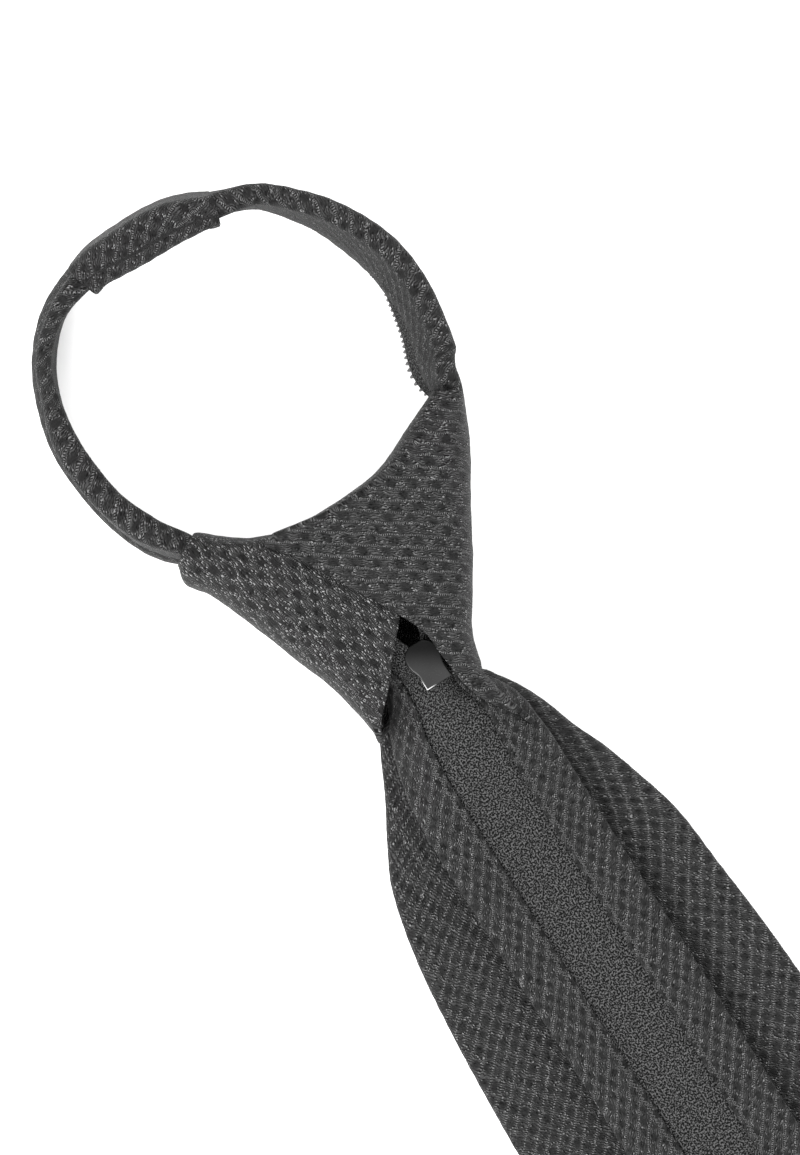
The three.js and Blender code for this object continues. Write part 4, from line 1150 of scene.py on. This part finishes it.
def make_band(name, node, path, covering, material):
    keys = band_keys(path, FINE_STEP)
    columns = np.ones(len(keys))[:, None]
    inner = top_edge(path, keys)[:, None]
    in_loop = loop_share(path, keys)[:, None]
    from_end = (path["keys"][-1] - keys)[:, None]
    under_panel = 1 - smoothstep(from_end, NAPE_LENGTH / 2 - PUFF_BLEND, NAPE_LENGTH / 2)
    column = 1 if path["side"] > 0 else 2
    puff_keys = [path["keys"][HORN_KEY + row[0]] for row in PUFF_ROWS]
    puff = np.interp(keys, puff_keys, [row[column] * BAND_WIDTH for row in PUFF_ROWS])[:, None]
    puff = puff * (1 - under_panel)

    def layer(w):
        return BAND_LAYER + puff * smoothstep(w, 0, PUFF_RISE)

    top = inner + (FOLD_CENTRE - inner) * np.linspace(0, 1, BAND_DETAIL["top"])
    dip = HEM_DIP * np.exp(-(((top - inner) / HEM_DIP_SPREAD) ** 2))
    turn = np.linspace(PI / 2, -PI / 2, BAND_DETAIL["turn"])[1:-1] * columns
    radius = layer(FOLD_CENTRE * columns)
    under = np.linspace(FOLD_CENTRE, TAPE_SHOWING, BAND_DETAIL["under"]) * columns
    covered = covering * in_loop * (1 - under_panel)
    edge = front_edge(path, keys)[:, None]
    edge = edge + (COVER_EDGE - edge) * covered
    hem = TAPE_SHOWING + (edge - TAPE_SHOWING) * np.linspace(0, 1, BAND_DETAIL["hem"])[1:]
    cover = BAND_LAYER + COIL_COVER * covered * (1 - smoothstep(hem, COIL_WIDTH, TAPE_SHOWING))
    low = -np.maximum(layer(hem), cover)
    w = np.concatenate([top, FOLD_CENTRE + (BAND_LAYER + puff / 2) * np.cos(turn), under, hem], axis=1)
    n = np.concatenate([layer(top) - dip, radius * np.sin(turn), -layer(under), low], axis=1)
    bend = FOLD_CENTRE + BAND_LAYER * (PI / 2 - turn)
    far_side = FOLD_CENTRE + PI * BAND_LAYER + FOLD_CENTRE
    cloth = np.concatenate([top, bend, far_side - under, far_side - hem], axis=1)
    grid = band_points(band_frame(path, keys), w, n)
    along = keys[:, None] * np.ones(w.shape[1])
    uv = cells(np.stack([cloth, along], axis=-1), *BAND_CELL)
    from_stitches = (cloth - inner - STITCH_MARGIN) / STITCH_SPREAD
    groove = STITCH_DEPTH * np.exp(-(from_stitches**2)) * (1 - in_loop)
    piece = thick_sheet(name, grid, BAND_WALL, uv, material, weave_height(uv) - groove)
    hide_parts(node)


def make_tape(name, node, path):
    keys = band_keys(path, TAPE_FINE_STEP)
    share = np.linspace(0, 1, TAPE_POINTS)
    opened = smoothstep(keys, path["keys"][SLIDER_KEY] + TAPE_OPENS_AFTER, path["keys"][OPEN_KEY])
    in_loop = loop_share(path, keys)
    inner = TAPE_INNER_EDGE * opened - TAPE_WALL / 2 * (1 - opened) + LOOP_TEETH * in_loop
    w = inner[:, None] + (TAPE_WIDTH - inner[:, None]) * share
    below = TAPE_STEP * (1 - path["side"]) / 2
    grid = band_points(band_frame(path, keys), w, 0 * w - below)
    uv = np.stack([w * path["side"], np.repeat(keys[:, None], w.shape[1], axis=1)], axis=-1)
    piece = thick_sheet(name, grid, TAPE_WALL, uv, TAPE)
    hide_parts(node)


def make_coil(name, node, path, phase):
    """Nylon coil wound under the tape; where the zip is closed its turns reach past the middle."""
    last = path["keys"][-1]
    keys = np.arange(0, last, COIL_PITCH / COIL_TURN_POINTS)
    angle = 2 * PI * (keys / COIL_PITCH + phase)
    opened = smoothstep(keys, path["keys"][SLIDER_KEY], path["keys"][OPEN_KEY])
    inner = TAPE_INNER_EDGE - COIL_MESH_OVERLAP * (1 - opened) - COIL_OPENING * opened
    outer = TAPE_INNER_EDGE - COIL_OPENING * opened + COIL_WIDTH
    at = band_frame(path, keys)
    slope = np.maximum(0, -at["curl"][:, 0]) * COIL_SLOPE
    depth = (1 - np.sin(angle)) / 2
    in_loop = loop_share(path, keys)
    peek = COIL_PEEK * in_loop * (1 + path["side"]) / 2
    low = inner + slope * (1 + COIL_SLOPE_BELOW * depth) + COIL_WIRE - peek
    high = outer - COIL_WIRE
    w = low + (high - low) * (1 + np.cos(angle)) / 2
    top = -TAPE_WALL / 2 - COIL_WIRE
    n = top - (COIL_THICKNESS - COIL_WIRE) * depth
    line = band_points(at, w[:, None], n[:, None])[:, 0]
    piece = tube(name, line, COIL_WIRE, NYLON)
    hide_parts(node)


def tube(name, line, radius, material):
    """Round bar along a line of points, closed at both ends."""
    travel = unit(np.gradient(line, axis=0))
    first = unit(np.cross(travel, [0.0, 0.0, 1.0]))
    second = np.cross(travel, first)
    angle = np.linspace(0, 2 * PI, TUBE_SIDES, endpoint=False)
    ring = first[:, None] * np.cos(angle)[:, None] + second[:, None] * np.sin(angle)[:, None]
    points = (line[:, None] + ring * radius).reshape(-1, 3)
    index = np.arange(len(points)).reshape(-1, TUBE_SIDES)
    index = np.concatenate([index, index[:, :1]], axis=1)
    faces = quads(index)
    cap = np.array(TUBE_CAP)
    ends = np.concatenate([cap[:, ::-1], cap + len(points) - TUBE_SIDES])
    return make_mesh(name, points, np.concatenate([faces, ends]), None, material)


def make_hem_stitches(name, path):
    """Thread that zigzags along the hem of the cloth beside the tape."""
    end = path["keys"][LOOP_BARE_KEY if path["side"] > 0 else LEFT_HEM_KEY]
    keys = np.arange(TAIL_LENGTH + VISIBLE_FROM, end, HEM_STITCH / HEM_STITCH_POINTS)
    angle = 2 * PI * keys / HEM_STITCH
    w = top_edge(path, keys) + HEM_FROM_EDGE + HEM_STITCH_REACH * np.sin(angle)
    n = BAND_FACE - HEM_DIP / 2 + HEM_THREAD * (0.5 + np.cos(angle))
    line = band_points(band_frame(path, keys), w[:, None], n[:, None])[:, 0]
    piece = tube(name, line, HEM_THREAD, THREAD)


# Nape panel and tail end


def sleeve_ring(low, high, outer, inner, wall):
    """Rounded box in (w, n) round a band, one ring for each row; inner is the side towards the neck."""
    corner = SLEEVE_CORNER * outer
    radius = corner + wall / 2
    corners = [
        (high - corner, inner - corner, 0),
        (low + corner, inner - corner, 90),
        (low + corner, corner - outer, 180),
        (high - corner, corner - outer, 270),
    ]
    w, n = [], []
    for middle_w, middle_n, start in corners:
        for turn in np.linspace(0, 90, CORNER_POINTS):
            angle = math.radians(start + turn)
            w.append(middle_w + radius * math.cos(angle))
            n.append(middle_n + radius * math.sin(angle))
    return np.stack(w, axis=1), np.stack(n, axis=1)


def filled(ring, most):
    """A closed ring of points with the long sides cut into steps no longer than most."""
    out = []
    count = ring.shape[1]
    lengths = np.linalg.norm(np.roll(ring, -1, 1) - ring, axis=-1).max(0)
    for j in range(count):
        pieces = max(1, int(math.ceil(lengths[j] / most)))
        share = np.arange(pieces)[None, :, None] / pieces
        start, end = ring[:, j : j + 1], ring[:, (j + 1) % count][:, None]
        out.append(start + (end - start) * share)
    return np.concatenate(out, axis=1)


def make_nape_panel(right, left):
    low = -COIL_WIDTH / 2 - NAPE_MARGIN
    high = BAND_WIDTH + CLEARANCE + NAPE_MARGIN / 2
    outer = BAND_FACE + NAPE_OUTER
    grids = []
    shares = even(NAPE_FIRST_ROW, 1, NAPE_ROW_STEP)[::-1]
    for path in (right, left):
        at = band_frame(path, path["keys"][-1] - shares * NAPE_LENGTH / 2)
        from_end = (1 - shares) * NAPE_LENGTH / 2
        nub = NUB_HEIGHT * np.exp(-((from_end / NUB_LENGTH) ** 2))
        inner = BAND_FACE + NAPE_INNER + NAPE_CHORD * (1 - shares**2) + nub
        sunk = NAPE_SINK * (1 - smoothstep(from_end, 0, NAPE_BLEND))
        if path["side"] > 0:
            swell = -NAPE_RIGHT_SINK * (1 - smoothstep(from_end, 0, 2 * NAPE_BLEND))
        else:
            swell = NAPE_SWELL * smoothstep(shares, NAPE_SWELL_FROM, NAPE_SWELL_TO)
        w, n = sleeve_ring(low + 0 * sunk, high - sunk, outer + swell - sunk, inner, NAPE_WALL)
        grids.append(band_points(at, w, n))
    grid = filled(np.concatenate([grids[0], grids[1][::-1]]), FINE_STEP)
    around = arc_lengths(grid)
    along = arc_lengths(grid, 0)
    mean_along = np.repeat(along.mean(1)[:, None], grid.shape[1], 1)
    uv = cells(np.stack([around, mean_along], axis=-1), *NAPE_CELL)
    relief = weave_height(uv)
    piece = thick_sheet("nape_panel_cloth", grid, NAPE_WALL, uv, RIGHT_BAND_CLOTH, relief, ring=True)
    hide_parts("nape_panel")


def make_tail_end():
    axis = TAIL_ROWS[0][0] * KNOT_WIDTH
    top = BAND_FACE + CLEARANCE
    bottom = TAPE_WALL / 2 + COIL_THICKNESS + 2 * CLEARANCE
    opening = (top + bottom + TAIL_END_WALL) / 2
    centre = TAIL_LEVEL + (top - bottom) / 2
    start_y = -TAIL_LENGTH + TAIL_END_LENGTH * TAIL_END_OVERLAP
    track = smooth_table([row[0] for row in TAIL_END_ROWS], TAIL_END_ROWS)
    share, wide, thick = np.moveaxis(track(even(0, 1, TAIL_END_ROW_STEP)), -1, 0)[..., None]
    angle = 2 * PI * (np.arange(TAIL_END_POINTS) + 0.5) / TAIL_END_POINTS
    cosine, sine = np.cos(angle), np.sin(angle)
    half = wide * (BAND_WIDTH + CLEARANCE + TAIL_END_WALL)
    x = axis + np.sign(cosine) * np.abs(cosine) ** TAIL_END_SIDES * half
    z = centre + np.sign(sine) * np.abs(sine) ** TAIL_END_FACES * opening * thick
    grid = np.stack([x, start_y - share * TAIL_END_LENGTH + 0 * x, z], axis=-1)
    around = arc_lengths(grid)
    uv = cells(np.stack([around, grid[..., 1]], axis=-1), *BAND_CELL)
    relief = weave_height(uv)
    piece = thick_sheet("tail_end_cloth", grid, TAIL_END_WALL, uv, RIGHT_BAND_CLOTH, relief, ring=True)
    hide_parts("tail_end")


# Slider


def plate_outline(width):
    """Outline of a slider plate as seen from above, from the nose round the rear."""
    shares = np.array([row[0] for row in SLIDER_OUTLINE])
    track = smooth_table(shares, SLIDER_OUTLINE)
    share, half = np.moveaxis(track(np.linspace(0, 1, PLATE_DETAIL["side"])), -1, 0)
    right = np.stack([half * width / 2, -share * SLIDER_LENGTH], axis=1)
    left = right[::-1] * [-1, 1]
    rear_x = np.linspace(right[-1, 0], left[0, 0], PLATE_DETAIL["rear"])[1:-1]
    rear = np.stack([rear_x, np.full_like(rear_x, -SLIDER_LENGTH)], axis=1)
    nose_x = np.linspace(left[-1, 0], right[0, 0], PLATE_DETAIL["nose"])[1:-1]
    nose = np.stack([nose_x, np.zeros_like(nose_x)], axis=1)
    return np.concatenate([right, rear, left, nose])


def plate_mesh(width, bottom, facing):
    """Points and faces of one plate with rounded edges, its bevelled face towards facing."""
    outline = plate_outline(width)
    centre = outline.mean(0)
    inward = unit(centre - outline)
    rings = []
    for inset, height in PLATE_RINGS:
        up = height * SLIDER_PLATE
        z = bottom + (up if facing > 0 else SLIDER_PLATE - up)
        rings.append(np.column_stack([outline + inward * inset, np.full(len(outline), z)]))
    points = np.concatenate(rings)
    count = len(outline)
    index = np.arange(len(points)).reshape(-1, count)
    faces = quads(np.concatenate([index, index[:, :1]], axis=1)).tolist()
    middle = len(points)
    for ring_start, middle_point in ((0, middle), (len(points) - count, middle + 1)):
        for j in range(count):
            faces.append([ring_start + j, ring_start + (j + 1) % count, middle_point])
    ends = [np.append(centre, rings[k][0, 2]) for k in (0, -1)]
    return np.vstack([points, ends]), faces


def make_slider(path):
    key = path["keys"][SLIDER_KEY]
    axis_x, closed_y, coil_z = path["track"](key)[:3]
    nose = np.array([axis_x, closed_y + SLIDER_LENGTH * SLIDER_NOSE, 0])
    top = coil_z + TAPE_WALL / 2 + CLEARANCE
    bottom = coil_z - TAPE_WALL / 2 - COIL_THICKNESS - 2 * CLEARANCE - SLIDER_UNDER_GAP
    parts = [
        plate_mesh(SLIDER_WIDTH, top, 1),
        plate_mesh(SLIDER_UNDER_WIDTH, bottom - SLIDER_PLATE, -1),
    ]
    half = SLIDER_POST / 2
    front = -POST_FRONT
    rear = -SLIDER_LENGTH * POST_REAR
    foot = ((-half, rear), (half, rear), (half, front), (-half, front))
    box = [(x, y, z) for z in (bottom - POST_SINK, top + POST_SINK) for x, y in foot]
    box_faces = [[0, 1, 5, 4], [1, 2, 6, 5], [2, 3, 7, 6], [3, 0, 4, 7], [3, 2, 1, 0], [4, 5, 6, 7]]
    parts.append((np.array(box), box_faces))
    points, faces, start = [], [], 0
    for part_points, part_faces in parts:
        points.append(part_points + nose + SHIFT)
        faces += [[k + start for k in face] for face in part_faces]
        start += len(part_points)
    mesh = bpy.data.meshes.new("slider_body")
    mesh.from_pydata((np.concatenate(points) * METRE).tolist(), [], faces)
    mesh.materials.append(ENAMEL)
    mesh.shade_smooth()
    piece = placed("slider_body", mesh)
    bpy.context.view_layer.objects.active = piece
    piece.select_set(True)
    bpy.ops.object.mode_set(mode="EDIT")
    bpy.ops.mesh.select_all(action="SELECT")
    bpy.ops.mesh.normals_make_consistent(inside=False)
    bpy.ops.object.mode_set(mode="OBJECT")
    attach(piece, "root")
    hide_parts("zip_slider")


# Camera, floor and lights


def make_camera():
    data = bpy.data.cameras.new("camera")
    data.lens = CAMERA_LENS
    data.sensor_fit = "VERTICAL"
    data.sensor_height = CAMERA_SENSOR
    camera = placed("camera", data)
    distance = VIEW_HEIGHT * CAMERA_LENS / CAMERA_SENSOR
    aim = np.array([*CAMERA_AIM, CAMERA_LEVEL + distance]) + SHIFT
    camera.location = aim * METRE
    camera.rotation_euler = (0, 0, math.radians(CAMERA_TURN))
    bpy.context.scene.camera = camera


def make_floor():
    half = FLOOR_SIZE / 2
    mesh = bpy.data.meshes.new("floor")
    corners = [(-half, -half, 0), (half, -half, 0), (half, half, 0), (-half, half, 0)]
    mesh.from_pydata(corners, [], [(0, 1, 2, 3)])
    n = Nodes("floor")
    tone = n.noise(n.coordinates("Object"), FLOOR_TONES)
    colour = n.mixed(tone, *(grey(value) for value in FLOOR_GREYS))
    mesh.materials.append(n.surface({"Base Color": colour, "Roughness": 0.9, "Specular IOR Level": 0.1}))
    floor = placed("floor", mesh)


def make_light(name, place, size, power):
    data = bpy.data.lights.new(name, "AREA")
    data.shape = "SQUARE"
    data.size = size
    data.energy = power
    lamp = placed(name, data)
    lamp.location = place
    direction = np.array(LIGHT_AIM) - np.array(place)
    distance = np.linalg.norm(direction)
    lamp.rotation_euler = (
        math.acos(-direction[2] / distance),
        0,
        math.atan2(direction[1], direction[0]) - PI / 2,
    )


def make_lights():
    world = bpy.data.worlds.new("world")
    bpy.context.scene.world = world
    world.use_nodes = True
    background = world.node_tree.nodes["Background"]
    background.inputs["Color"].default_value = (1.0, 1.0, 1.0, 1.0)
    background.inputs["Strength"].default_value = WORLD_LIGHT
    make_light("key_light", **KEY_LIGHT)
    make_light("fill_light", **FILL_LIGHT)


bpy.context.scene.view_settings.view_transform = "Standard"
make_camera()
make_floor()
make_lights()
make_blade()
make_front()
make_wing("wing_right_cloth", "knot_wing_right", RIGHT_WING, RIGHT_WING_CELL, RIGHT_WING_CLOTH)
make_wing("wing_left_cloth", "knot_wing_left", LEFT_WING, LEFT_WING_CELL, LEFT_WING_CLOTH_WITH_PAINTED_HIGHLIGHT)
right_path = band_path(1, RIGHT_KNOT_ROWS, RIGHT_LOOP_ROWS)
left_path = band_path(-1, LEFT_KNOT_ROWS, LEFT_LOOP_ROWS)
make_band("band_right_cloth", "band_right", right_path, 0, RIGHT_BAND_CLOTH)
make_band("band_left_cloth", "band_left", left_path, 1, LEFT_BAND_CLOTH)
make_tape("tape_right_cloth", "zip_tape_right", right_path)
make_tape("tape_left_cloth", "zip_tape_left", left_path)
make_coil("coil_right_nylon", "zip_coil_right", right_path, 0.0)
make_coil("coil_left_nylon", "zip_coil_left", left_path, 0.5)
make_hem_stitches("hem_stitches_right", right_path)
make_hem_stitches("hem_stitches_left", left_path)
make_nape_panel(right_path, left_path)
make_tail_end()
make_slider(right_path)
